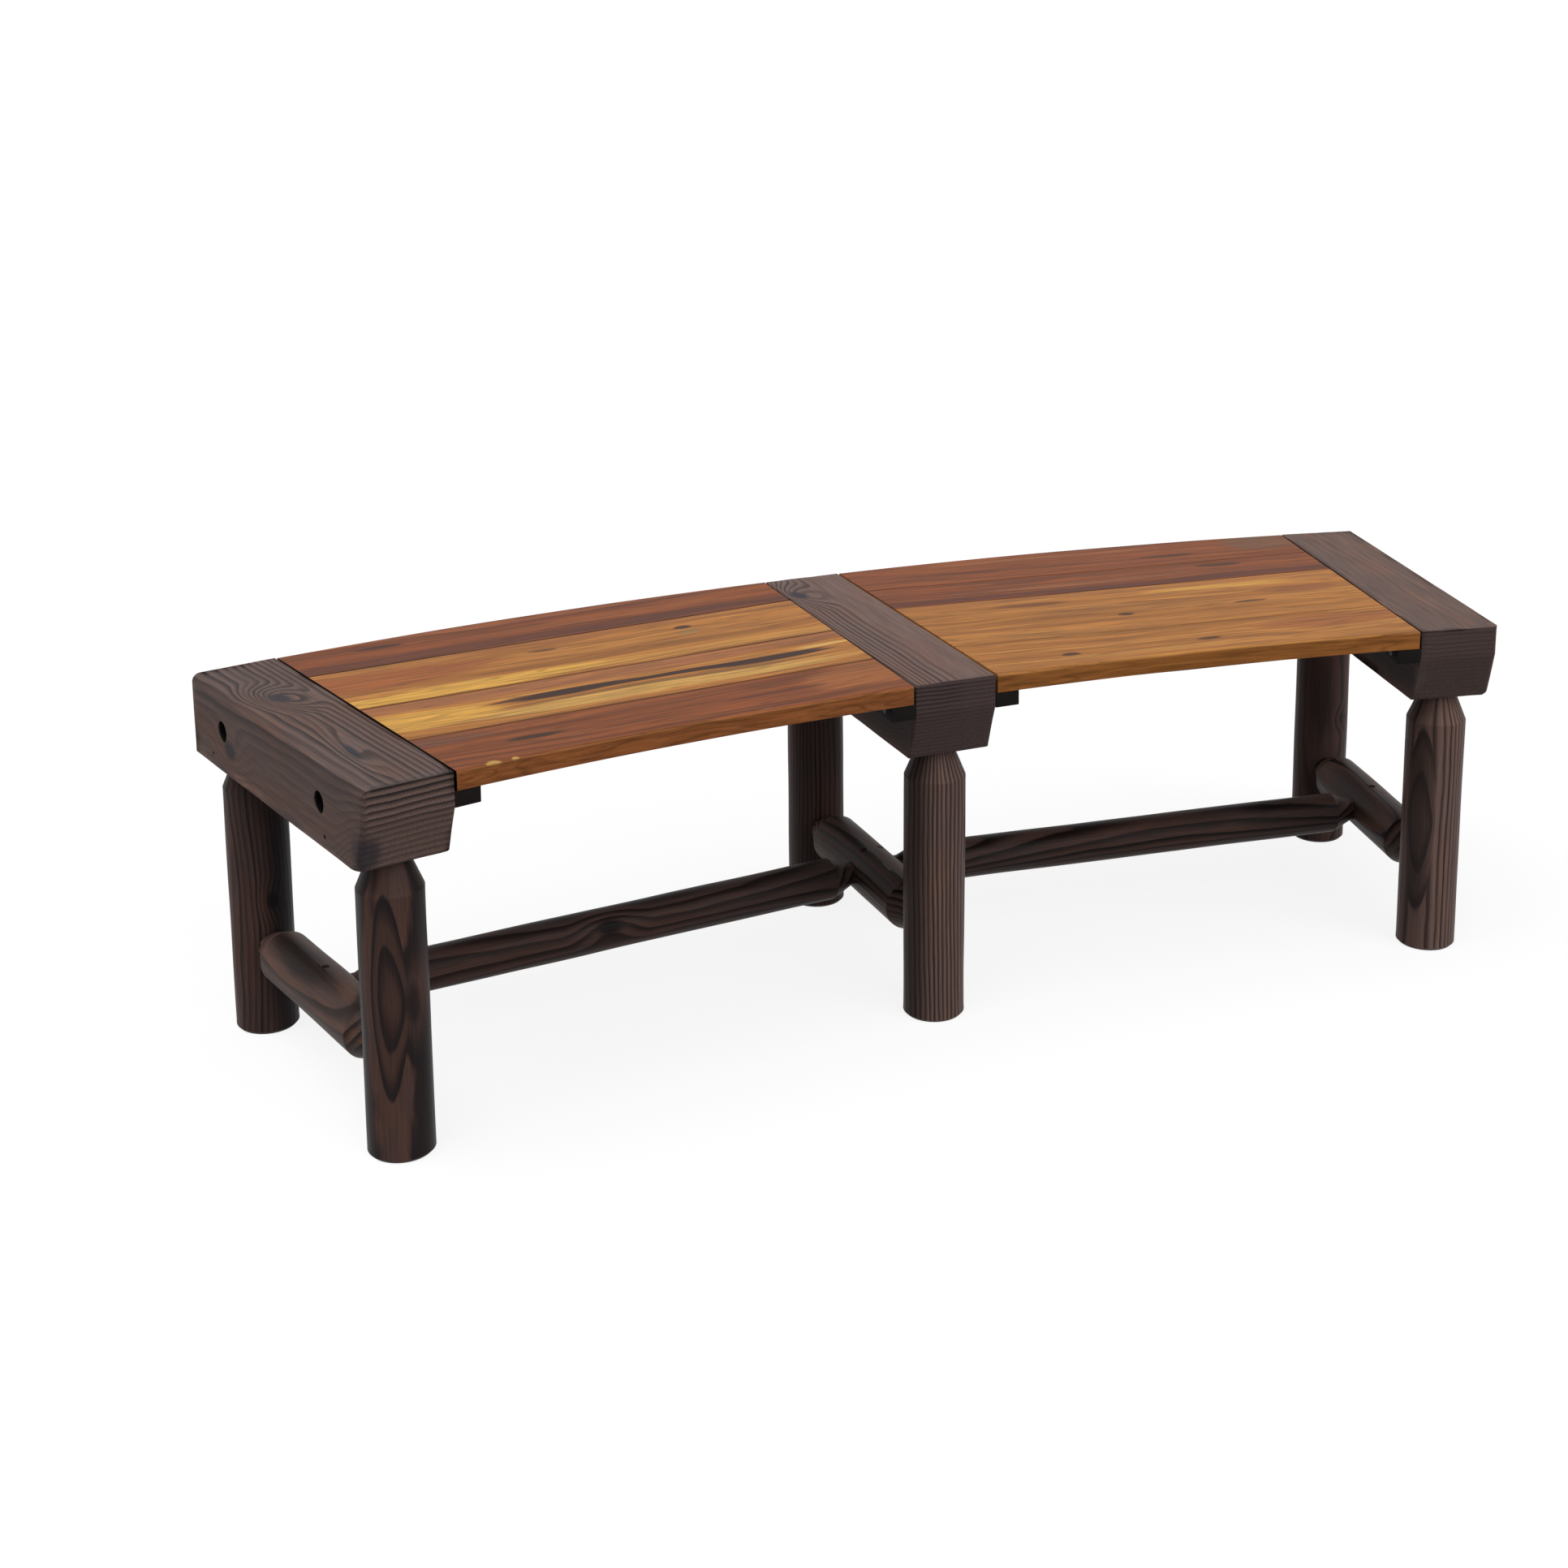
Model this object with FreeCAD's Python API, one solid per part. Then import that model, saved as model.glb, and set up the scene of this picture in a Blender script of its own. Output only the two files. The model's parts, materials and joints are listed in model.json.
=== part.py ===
import FreeCAD, Part
import math
import os

# Curved backless bench: two plank panels between three cross beams on six round legs.
# Millimetres, +Z up, +X along the bench, +Y away from the sitter's knees.
# Every beam and panel is drawn in a frame of its own: the centre of the bench's curve is at
# the origin and +Y runs outwards. `stood` turns it into place.

# Plan of the bench
seat_height = 400.0
inner_radius = 2858.0            # curve of the front edge
beam_length = 435.0              # front edge to rear edge
beam_angle = 12.16               # degrees between neighbouring beams
joint_clearance = 0.15           # all round a wooden tenon
bolt_clearance = 0.3             # all round a bolt
cut_overrun = 5.0                # how far a cutting shape passes the face it opens
match_tolerance = 0.01           # for finding edges by place

# Cross beams
beam_width = 94.0
beam_height = 87.5
front_upright = 34.0             # upright part of the front end, the rest slopes back
front_undercut = 17.5
lower_front_ease = 3.0            # flat between the slope and the underside
outer_edge_radius = 9.0          # worn front edge on the open side of an end beam, top edge too on the left

# Legs
leg_radius = 34.0
foot_ease = 3.0
neck_length = 34.5               # cone below the beam
neck_radius = 19.5
leg_tenon_radius = 17.0
leg_tenon_length = 48.0
front_leg_setback = 53.0         # leg axis behind the beam's front end
rear_leg_setback = 41.5          # leg axis before the beam's rear end

# Rails
rail_height = 100.0              # axis of a cross rail above the floor
cross_rail_radius = 29.5
cross_nose_length = 30.0
cross_tenon_radius = 18.0
cross_tenon_depth = 40.0         # into the leg
long_rail_radius = 23.75
long_rail_rise = 2.0             # axis of a long rail above that of a cross rail
long_nose_length = 26.0
long_nose_stand_off = 2.0        # tenon showing between the nose and the cross rail
long_tenon_radius = 13.0
end_tenon_past_axis = 8.0        # a long rail's tenon passes the axis of an end cross rail
middle_tenon_short = 5.0         # and stops before the axis of the middle one

# Seat planks, front to rear
plank_thickness = 20.0
plank_gap = 0.6                  # between neighbouring planks
plank_end_gap = 2.2              # between a plank's end and the beam
plank_edge_radius = 2.0          # on the curved front and rear edges
seam_bevel = 0.7
left_seam_shares = (0.216, 0.474, 0.777)     # of the beam's length, behind the panel's front edge
right_seam_shares = (0.221, 0.588, 0.770)

# Ledgers along the beams and stringers under the seams
ledger_width = 28.0
ledger_height = 17.0
stringer_width = 44.0
stringer_height = 28.0
stringer_end_gap = 0.3

# Panel bolts, studs and barrel nuts
bolt_setback_shares = (0.241, 0.814)         # of the beam's length, behind its front end
bolt_rise = 5.5                  # bolt axis above the underside of a stringer
bolt_radius = 3.0
bolt_head_radius = 6.0
bolt_head_height = 6.0
bolt_socket_radius = 2.9
bolt_socket_depth = 3.0
bolt_past_nut = 8.0
counterbore_radius = 11.5
counterbore_depth = 24.0
washer_radius = 10.5
washer_thickness = 1.6
nut_radius = 5.0
nut_height = 10.0
nut_inset = 45.0                 # nut axis beyond the side of the beam

# Small holes low on the open side of an end beam
front_pilot_setback = 95.0
rear_pilot_setback = 51.0        # before the beam's rear end
pilot_height = 12.0              # above the underside of the beam
pilot_radius = 2.6
pilot_depth = 20.0

# Wood screws
screw_radius = 2.0
screw_head_radius = 4.0
screw_rim = 0.5
screw_head_height = 2.8
screw_tip = 4.0
plank_bite = 13.0                # length of a screw inside a plank
beam_bite = 32.0                 # length of a ledger screw inside a beam
plank_end_screw_shares = (0.138, 0.379, 0.690, 0.913)    # of the beam's length, one for each plank
ledger_screw_margin = 20.0       # outer ledger screws from the ledger's ends
ledger_middle_screw_share = 0.531
seam_screw_offset = 6.0          # each side of a seam
seam_screw_nut_distance = 32.0   # outer seam screws from the nearest barrel nut
lock_screw_sink = 5.0            # head below the top of the cross rail
lock_screw_length = 32.0
middle_lock_offset = 11.0        # lock screws each side of the middle cross rail's axis

# Derived places
outer_radius = inner_radius + beam_length
beam_underside = seat_height - beam_height
plank_underside = seat_height - plank_thickness
ledger_underside = plank_underside - ledger_height
stringer_underside = plank_underside - stringer_height
bolt_height = stringer_underside + bolt_rise
half_width = beam_width / 2
front_leg_place = inner_radius + front_leg_setback
rear_leg_place = outer_radius - rear_leg_setback
rail_middle_place = (front_leg_place + rear_leg_place) / 2
nut_place = half_width + nut_inset
bolt_setbacks = [share * beam_length for share in bolt_setback_shares]
pilot_setbacks = [front_pilot_setback, beam_length - rear_pilot_setback]
plank_end_setbacks = [share * beam_length for share in plank_end_screw_shares]
ledger_screw_setbacks = [
    ledger_screw_margin,
    ledger_middle_screw_share * beam_length,
    beam_length - ledger_screw_margin,
]

UP = FreeCAD.Vector(0, 0, 1)
DOWN = FreeCAD.Vector(0, 0, -1)
OUTWARDS = FreeCAD.Vector(0, 1, 0)
ACROSS = FreeCAD.Vector(1, 0, 0)
ORIGIN = FreeCAD.Vector(0, 0, 0)

LEFT, MIDDLE, RIGHT = -1, 0, 1
BEAM_SIDES = {"left": LEFT, "middle": MIDDLE, "right": RIGHT}
PANEL_SIDES = {"left": LEFT, "right": RIGHT}
PANEL_SEAMS = {
    "left": [share * beam_length for share in left_seam_shares],
    "right": [share * beam_length for share in right_seam_shares],
}

turn_cos = math.cos(math.radians(beam_angle))
turn_sin = math.sin(math.radians(beam_angle))
front_most = (inner_radius + outer_edge_radius) * turn_cos \
    - (half_width - outer_edge_radius) * turn_sin - outer_edge_radius
curve_centre = -(outer_radius + front_most) / 2


def stood(shape, turn):
    """Turns a shape from its own frame about the curve's centre and sets it in the bench."""
    shape.rotate(ORIGIN, UP, -turn)
    shape.translate(FreeCAD.Vector(0, curve_centre, 0))
    return shape


def spun(profile):
    """A solid of revolution about +Z from a closed list of (radius, height) corners."""
    points = [FreeCAD.Vector(radius, 0, height) for radius, height in profile]
    face = Part.Face(Part.makePolygon(points + points[:1]))
    return face.revolve(ORIGIN, UP, 360)


def aimed(shape, start, direction):
    """Lays a shape drawn along +Z along a direction from a starting point."""
    shape.Placement = FreeCAD.Placement(start, FreeCAD.Rotation(UP, direction))
    return shape


def beam_turn(side):
    return side * beam_angle


def panel_turn(side):
    return side * beam_angle / 2


# Beams, legs and rails


def beam_blank(side):
    """A cross beam with its sloping front end and, on an end beam, worn edges on its open side."""
    slope_height = beam_height - front_upright
    ease_share = lower_front_ease / math.hypot(front_undercut, slope_height)
    outline = [
        (inner_radius, seat_height),
        (inner_radius, seat_height - front_upright),
        (inner_radius + front_undercut * (1 - ease_share), beam_underside + slope_height * ease_share),
        (inner_radius + front_undercut + lower_front_ease, beam_underside),
        (outer_radius, beam_underside),
        (outer_radius, seat_height),
    ]
    points = [FreeCAD.Vector(-half_width, place, height) for place, height in outline]
    face = Part.Face(Part.makePolygon(points + points[:1]))
    blank = face.extrude(FreeCAD.Vector(beam_width, 0, 0))
    if side == MIDDLE:
        return blank
    open_face = side * half_width
    worn = []
    for edge in blank.Edges:
        on_open_face = all(abs(corner.X - open_face) < match_tolerance for corner in edge.Vertexes)
        at_underside = max(corner.Z for corner in edge.Vertexes) < beam_underside + match_tolerance
        at_rear = min(corner.Y for corner in edge.Vertexes) > outer_radius - match_tolerance
        kept_crisp = at_underside or at_rear or (side == RIGHT and edge_is_on_top(edge))
        if on_open_face and not kept_crisp:
            worn.append(edge)
    return blank.makeFillet(outer_edge_radius, worn)


def leg_socket(place):
    radius = leg_tenon_radius + joint_clearance
    depth = leg_tenon_length + joint_clearance
    socket = Part.makeCylinder(radius, depth + cut_overrun)
    return aimed(socket, FreeCAD.Vector(0, place, beam_underside - cut_overrun), UP)


def leg(place):
    """A round leg with an eased foot, a coned neck, a shoulder and a round tenon."""
    profile = [
        (0, 0),
        (leg_radius - foot_ease, 0),
        (leg_radius, foot_ease),
        (leg_radius, beam_underside - neck_length),
        (neck_radius, beam_underside),
        (leg_tenon_radius, beam_underside),
        (leg_tenon_radius, beam_underside + leg_tenon_length),
        (0, beam_underside + leg_tenon_length),
    ]
    return aimed(spun(profile), FreeCAD.Vector(0, place, 0), UP)


def cross_rail():
    """A round rail from leg to leg, with coned noses and round tenons."""
    tenon_end = leg_radius - cross_tenon_depth
    span = rear_leg_place - front_leg_place
    nose_end = leg_radius + cross_nose_length
    profile = [
        (0, tenon_end),
        (cross_tenon_radius, tenon_end),
        (cross_tenon_radius, leg_radius),
        (cross_rail_radius, nose_end),
        (cross_rail_radius, span - nose_end),
        (cross_tenon_radius, span - leg_radius),
        (cross_tenon_radius, span - tenon_end),
        (0, span - tenon_end),
    ]
    return aimed(spun(profile), FreeCAD.Vector(0, front_leg_place, rail_height), OUTWARDS)


def cross_rail_sockets():
    """The holes in a front and a rear leg that take a cross rail's tenons."""
    radius = cross_tenon_radius + joint_clearance
    depth = cross_tenon_depth + joint_clearance
    front_start = front_leg_place + leg_radius - depth
    rear_start = rear_leg_place - leg_radius - cut_overrun
    sockets = []
    for start in (front_start, rear_start):
        socket = Part.makeCylinder(radius, depth + cut_overrun)
        sockets.append(aimed(socket, FreeCAD.Vector(0, start, rail_height), OUTWARDS))
    return sockets


def rail_middle(side):
    """Where a long rail's axis crosses the middle of a cross rail, in the bench's frame."""
    marker = Part.Vertex(0, rail_middle_place, rail_height + long_rail_rise)
    return stood(marker, beam_turn(side)).Point


def long_rail_axis(side):
    """Start and direction of a long rail: from its end cross rail to the middle one."""
    start = rail_middle(side)
    return start, rail_middle(MIDDLE) - start


def long_rail(side):
    """A round rail between two cross rails, with coned noses and round tenons."""
    start, direction = long_rail_axis(side)
    span = direction.Length
    tenon_show = cross_rail_radius + long_nose_stand_off
    nose_end = tenon_show + long_nose_length
    profile = [
        (0, -end_tenon_past_axis),
        (long_tenon_radius, -end_tenon_past_axis),
        (long_tenon_radius, tenon_show),
        (long_rail_radius, nose_end),
        (long_rail_radius, span - nose_end),
        (long_tenon_radius, span - tenon_show),
        (long_tenon_radius, span - middle_tenon_short),
        (0, span - middle_tenon_short),
    ]
    return aimed(spun(profile), start, direction)


def long_rail_socket(side, at_middle):
    """The hole in a cross rail that takes one end of a long rail."""
    start, direction = long_rail_axis(side)
    radius = long_tenon_radius + joint_clearance
    reach = cross_rail_radius + cut_overrun + end_tenon_past_axis
    socket = Part.makeCylinder(radius, reach)
    if at_middle:
        start = start + direction
        direction = -direction
        inner_end = middle_tenon_short - joint_clearance
    else:
        inner_end = -end_tenon_past_axis - joint_clearance
    offset = FreeCAD.Vector(direction).normalize() * inner_end
    return aimed(socket, start + offset, direction)


# Seat panels


def panel_corner(radius, side, end_gap):
    """Where the arc of that radius meets the beam at that end of a panel, in the panel's frame."""
    inset = half_width + end_gap
    corner = FreeCAD.Vector(-side * inset, math.sqrt(radius ** 2 - inset ** 2), 0)
    turn = FreeCAD.Rotation(UP, -side * beam_angle / 2)
    return turn.multVec(corner)


def panel_blank(underside, top, end_gap):
    """The whole space between two beams, from the front curve to the rear curve."""
    front_left, front_right = (panel_corner(inner_radius, side, end_gap) for side in (LEFT, RIGHT))
    rear_left, rear_right = (panel_corner(outer_radius, side, end_gap) for side in (LEFT, RIGHT))
    edges = [
        Part.Arc(front_left, OUTWARDS * inner_radius, front_right).toShape(),
        Part.makeLine(front_right, rear_right),
        Part.Arc(rear_right, OUTWARDS * outer_radius, rear_left).toShape(),
        Part.makeLine(rear_left, front_left),
    ]
    blank = Part.Face(Part.Wire(edges)).extrude(UP * (top - underside))
    blank.translate(UP * underside)
    return blank


def strip(start, end, underside, top):
    """A long box across a panel, from one distance from the curve's centre to another."""
    length = 2 * (outer_radius * math.sin(math.radians(beam_angle)))
    corner = FreeCAD.Vector(-length / 2, start, underside)
    return Part.makeBox(length, end - start, top - underside, corner)


def edge_is_on_top(edge):
    return all(abs(corner.Z - seat_height) < match_tolerance for corner in edge.Vertexes)


def plank(start, end):
    """One straight board, cut to the panel's curve and ends, with its top edges eased."""
    blank = panel_blank(plank_underside, seat_height, plank_end_gap)
    board = blank.common(strip(start, end, plank_underside, seat_height)).Solids[0]
    curved = [edge for edge in board.Edges if edge_is_on_top(edge) and isinstance(edge.Curve, Part.Circle)]
    if curved:
        board = board.makeFillet(plank_edge_radius, curved)
    seams = []
    for edge in board.Edges:
        lies_across = abs(edge.Vertexes[0].Y - edge.Vertexes[-1].Y) < match_tolerance
        on_seam = min(abs(edge.Vertexes[0].Y - place) for place in (start, end)) < match_tolerance
        if edge_is_on_top(edge) and lies_across and on_seam:
            seams.append(edge)
    return board.makeChamfer(seam_bevel, seams)


def plank_bounds(seams):
    """Start and end of each plank of a panel, measured from the curve's centre."""
    bounds = []
    start = inner_radius - cut_overrun - front_bow()
    for seam in seams:
        bounds.append((start, inner_radius + seam - plank_gap / 2))
        start = inner_radius + seam + plank_gap / 2
    bounds.append((start, outer_radius + cut_overrun))
    return bounds


def front_bow():
    """How far a panel's front corners stand before the middle of its front edge."""
    return inner_radius * (1 - math.cos(math.radians(beam_angle / 2)))


def stringer_place(setback):
    """Distance of a stringer from the curve's centre, so that its end meets the bolt's nut."""
    half_turn = math.radians(beam_angle / 2)
    return (inner_radius + setback) * math.cos(half_turn) + nut_place * math.sin(half_turn)


def stringer(setback):
    middle = stringer_place(setback)
    blank = panel_blank(stringer_underside, plank_underside, stringer_end_gap)
    bar = strip(middle - stringer_width / 2, middle + stringer_width / 2, stringer_underside, plank_underside)
    return blank.common(bar).Solids[0]


def ledger(facing):
    """A batten along one side of a beam, under the ends of the planks."""
    start = half_width if facing == RIGHT else -half_width - ledger_width
    corner = FreeCAD.Vector(start, inner_radius, ledger_underside)
    return Part.makeBox(ledger_width, beam_length, ledger_height, corner)


# Fasteners


def wood_screw(length):
    """A countersunk wood screw along +Z with its head at the start."""
    return spun([
        (0, 0),
        (screw_head_radius, 0),
        (screw_head_radius, screw_rim),
        (screw_radius, screw_head_height),
        (screw_radius, length - screw_tip),
        (0, length),
    ])


def panel_bolt(side, setback):
    """A socket-head bolt from an end beam's open side into a stringer's nut."""
    head_base = -washer_thickness
    head_top = head_base - bolt_head_height
    shank_end = beam_width - counterbore_depth + nut_inset + bolt_past_nut
    bolt = spun([
        (0, head_top + bolt_socket_depth),
        (bolt_socket_radius, head_top + bolt_socket_depth),
        (bolt_socket_radius, head_top),
        (bolt_head_radius, head_top),
        (bolt_head_radius, head_base),
        (bolt_radius, head_base),
        (bolt_radius, shank_end),
        (0, shank_end),
    ])
    return aimed(bolt, counterbore_floor(side, setback), ACROSS * -side)


def counterbore_floor(side, setback):
    return FreeCAD.Vector(side * (half_width - counterbore_depth), inner_radius + setback, bolt_height)


def washer(side, setback):
    ring = spun([
        (bolt_radius + bolt_clearance, -washer_thickness),
        (washer_radius, -washer_thickness),
        (washer_radius, 0),
        (bolt_radius + bolt_clearance, 0),
    ])
    return aimed(ring, counterbore_floor(side, setback), ACROSS * -side)


def stud(setback):
    """A threaded rod through the middle beam, with a nut in a stringer at each end."""
    reach = nut_place + bolt_past_nut
    rod = Part.makeCylinder(bolt_radius, 2 * reach)
    return aimed(rod, FreeCAD.Vector(-reach, inner_radius + setback, bolt_height), ACROSS)


def bolt_tunnel(setback):
    """The clearance hole for a bolt or stud, right through the beam and into the stringers."""
    reach = nut_place + bolt_past_nut + bolt_clearance
    tunnel = Part.makeCylinder(bolt_radius + bolt_clearance, 2 * reach)
    return aimed(tunnel, FreeCAD.Vector(-reach, inner_radius + setback, bolt_height), ACROSS)


def counterbore(side, setback):
    bore = Part.makeCylinder(counterbore_radius, counterbore_depth + cut_overrun)
    return aimed(bore, counterbore_floor(side, setback), ACROSS * side)


def pilot_hole(side, setback):
    hole = Part.makeCylinder(pilot_radius, pilot_depth + cut_overrun)
    floor = FreeCAD.Vector(side * (half_width - pilot_depth), inner_radius + setback, beam_underside + pilot_height)
    return aimed(hole, floor, ACROSS * side)


def nut_blank(facing, setback):
    centre = FreeCAD.Vector(facing * nut_place, inner_radius + setback, bolt_height - nut_height / 2)
    return aimed(Part.makeCylinder(nut_radius, nut_height), centre, UP)


def nut_hole(facing, setback):
    top = bolt_height + nut_height / 2
    start = FreeCAD.Vector(facing * nut_place, inner_radius + setback, stringer_underside - cut_overrun)
    return aimed(Part.makeCylinder(nut_radius, top - stringer_underside + cut_overrun), start, UP)


def ledger_screw(facing, setback):
    middle = ledger_underside + ledger_height / 2
    head = FreeCAD.Vector(facing * (half_width + ledger_width), inner_radius + setback, middle)
    return aimed(wood_screw(ledger_width + beam_bite), head, ACROSS * -facing)


def plank_end_screw(facing, setback):
    head = FreeCAD.Vector(facing * (half_width + ledger_width / 2), inner_radius + setback, ledger_underside)
    return aimed(wood_screw(ledger_height + plank_bite), head, UP)


def seam_screws(seam, setback):
    """Screws up through a stringer on both sides of the seam above it."""
    half_turn = math.radians(beam_angle / 2)
    nut_column = (inner_radius + setback) * math.sin(half_turn) - nut_place * math.cos(half_turn)
    outer_column = nut_column - seam_screw_nut_distance
    screws = []
    for offset in (-seam_screw_offset, seam_screw_offset):
        for column in (-outer_column, 0, outer_column):
            head = FreeCAD.Vector(column, inner_radius + seam + offset, stringer_underside)
            screws.append(aimed(wood_screw(stringer_height + plank_bite), head, UP))
    return screws


def lock_screw_head(across):
    """Where the head of a screw that locks a long rail's tenon sits, in the beam's frame."""
    top = rail_height + math.sqrt(cross_rail_radius ** 2 - across ** 2)
    return FreeCAD.Vector(across, rail_middle_place, top - lock_screw_sink)


def lock_screw(across):
    return aimed(wood_screw(lock_screw_length), lock_screw_head(across), DOWN)


def lock_screw_recess(across):
    return aimed(Part.makeCylinder(screw_head_radius, lock_screw_sink + cut_overrun), lock_screw_head(across), UP)


# Assembly


def inner_facings(side):
    """The sides of a beam that carry a panel."""
    return [facing for facing in (LEFT, RIGHT) if facing != side]


def at_beams(builder, sides=(LEFT, MIDDLE, RIGHT)):
    """Stands builder(side) at each beam; the builder returns a list of shapes."""
    return {side: [stood(shape, beam_turn(side)) for shape in builder(side)] for side in sides}


def every_ledger(side):
    return [ledger(facing) for facing in inner_facings(side)]


def every_ledger_screw(side):
    return [ledger_screw(facing, setback) for facing in inner_facings(side) for setback in ledger_screw_setbacks]


def every_plank_end_screw(side):
    return [plank_end_screw(facing, setback) for facing in inner_facings(side) for setback in plank_end_setbacks]


def every_bolt_or_stud(side):
    if side == MIDDLE:
        return [stud(setback) for setback in bolt_setbacks]
    return [panel_bolt(side, setback) for setback in bolt_setbacks]


def every_beam_hole(side):
    holes = [leg_socket(place) for place in (front_leg_place, rear_leg_place)]
    holes += [bolt_tunnel(setback) for setback in bolt_setbacks]
    if side != MIDDLE:
        holes += [counterbore(side, setback) for setback in bolt_setbacks]
        holes += [pilot_hole(side, setback) for setback in pilot_setbacks]
    return holes


def lock_offsets(side):
    return (-middle_lock_offset, middle_lock_offset) if side == MIDDLE else (0,)


def flat(groups):
    return [shape for group in groups.values() for shape in group]


def cut(shape, cutters):
    return shape.cut(Part.makeCompound(cutters))


def build():
    """Returns every node of the bench as a name and a shape."""
    nodes = {}
    ledgers = at_beams(every_ledger)
    ledger_screws = at_beams(every_ledger_screw)
    end_screws = at_beams(every_plank_end_screw)
    bolts = at_beams(every_bolt_or_stud)
    beam_holes = at_beams(every_beam_hole)
    tunnels = at_beams(lambda side: [bolt_tunnel(setback) for setback in bolt_setbacks])
    nuts = at_beams(lambda side: [nut_blank(f, s) for f in inner_facings(side) for s in bolt_setbacks])
    nut_holes = at_beams(lambda side: [nut_hole(f, s) for f in inner_facings(side) for s in bolt_setbacks])
    locks = at_beams(lambda side: [lock_screw(across) for across in lock_offsets(side)])
    lock_recesses = at_beams(lambda side: [lock_screw_recess(across) for across in lock_offsets(side)])

    for name, side in BEAM_SIDES.items():
        turn = beam_turn(side)
        beam = stood(beam_blank(side), turn)
        beam_name = "middle_beam" if side == MIDDLE else name + "_end_beam"
        nodes[beam_name] = cut(beam, beam_holes[side] + ledger_screws[side])
        sockets = [stood(socket, turn) for socket in cross_rail_sockets()]
        for end, place in (("front", front_leg_place), ("rear", rear_leg_place)):
            nodes[name + "_" + end + "_leg"] = cut(stood(leg(place), turn), sockets)
        rail = stood(cross_rail(), turn)
        rail_sockets = [long_rail_socket(panel, side == MIDDLE) for panel in ((LEFT, RIGHT) if side == MIDDLE else (side,))]
        nodes[name + "_cross_rail"] = cut(rail, rail_sockets + locks[side] + lock_recesses[side])
        for facing, batten in zip(inner_facings(side), ledgers[side]):
            facing_name = "middle_beam_" + ("left" if facing == LEFT else "right") if side == MIDDLE else name + "_beam"
            nodes[facing_name + "_ledger"] = cut(batten, ledger_screws[side] + end_screws[side])

    stringer_screws = []
    for name, side in PANEL_SIDES.items():
        turn = panel_turn(side)
        nodes[name + "_long_rail"] = cut(long_rail(side), flat(locks))
        seams = PANEL_SEAMS[name]
        screws = []
        for seam, setback in zip((seams[0], seams[-1]), bolt_setbacks):
            screws += [stood(screw, turn) for screw in seam_screws(seam, setback)]
        stringer_screws += screws
        for number, (start, end) in enumerate(plank_bounds(seams), 1):
            board = stood(plank(start, end), turn)
            nodes[name + "_plank_" + str(number)] = cut(board, screws + flat(end_screws))
        for end, setback in zip(("front", "rear"), bolt_setbacks):
            bar = stood(stringer(setback), turn)
            cutters = flat(ledgers) + flat(tunnels) + flat(nut_holes) + screws
            nodes[name + "_" + end + "_stringer"] = cut(bar, cutters)

    nodes["panel_bolts"] = Part.makeCompound(bolts[LEFT] + bolts[RIGHT])
    nodes["panel_bolt_washers"] = Part.makeCompound(
        flat(at_beams(lambda side: [washer(side, setback) for setback in bolt_setbacks], (LEFT, RIGHT))))
    nodes["middle_beam_studs"] = Part.makeCompound(bolts[MIDDLE])
    nodes["barrel_nuts"] = Part.makeCompound([cut(nut, flat(bolts)) for nut in flat(nuts)])
    nodes["ledger_screws"] = Part.makeCompound(flat(ledger_screws))
    nodes["plank_end_screws"] = Part.makeCompound(flat(end_screws))
    nodes["stringer_screws"] = Part.makeCompound(stringer_screws)
    nodes["rail_lock_screws"] = Part.makeCompound(flat(locks))
    return nodes


os.makedirs("parts", exist_ok=True)
for node_name, node_shape in build().items():
    node_shape.exportStep("parts/" + node_name + ".step")
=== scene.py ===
import bmesh
import bpy
import json
import math
from collections import namedtuple
from functools import partial
from mathutils import Matrix, Vector, noise

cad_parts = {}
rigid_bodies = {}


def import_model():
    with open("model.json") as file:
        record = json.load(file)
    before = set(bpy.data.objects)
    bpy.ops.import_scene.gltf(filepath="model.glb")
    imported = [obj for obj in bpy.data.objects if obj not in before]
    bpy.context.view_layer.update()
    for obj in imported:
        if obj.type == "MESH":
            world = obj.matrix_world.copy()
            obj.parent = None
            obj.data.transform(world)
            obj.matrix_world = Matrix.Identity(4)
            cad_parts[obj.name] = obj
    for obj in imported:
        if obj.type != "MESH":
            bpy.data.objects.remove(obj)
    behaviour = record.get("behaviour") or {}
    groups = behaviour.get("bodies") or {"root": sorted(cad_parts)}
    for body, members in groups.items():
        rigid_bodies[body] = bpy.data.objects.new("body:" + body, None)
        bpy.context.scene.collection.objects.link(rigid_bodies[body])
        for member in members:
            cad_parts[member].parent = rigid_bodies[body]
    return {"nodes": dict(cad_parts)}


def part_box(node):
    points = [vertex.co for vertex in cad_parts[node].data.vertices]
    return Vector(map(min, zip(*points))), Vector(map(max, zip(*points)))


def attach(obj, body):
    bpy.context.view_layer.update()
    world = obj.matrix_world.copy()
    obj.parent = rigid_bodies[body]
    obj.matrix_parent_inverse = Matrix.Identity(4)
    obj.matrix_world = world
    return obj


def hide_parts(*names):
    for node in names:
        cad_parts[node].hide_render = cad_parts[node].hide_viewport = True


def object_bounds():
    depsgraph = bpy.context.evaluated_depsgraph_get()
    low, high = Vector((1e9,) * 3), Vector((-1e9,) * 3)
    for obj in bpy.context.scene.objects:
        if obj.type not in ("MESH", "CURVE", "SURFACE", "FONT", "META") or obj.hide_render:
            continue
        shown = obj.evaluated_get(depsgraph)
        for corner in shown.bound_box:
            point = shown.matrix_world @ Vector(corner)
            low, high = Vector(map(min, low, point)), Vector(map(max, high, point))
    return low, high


bl_info = {
    "name": "Curved plank bench",
    "version": (1, 0, 0),
    "blender": (4, 5, 0),
    "location": "View3D > Sidebar > Bench",
    "description": "Dresses a curved bench of charred softwood and oiled planks around its frame",
    "category": "Object",
}

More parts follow.
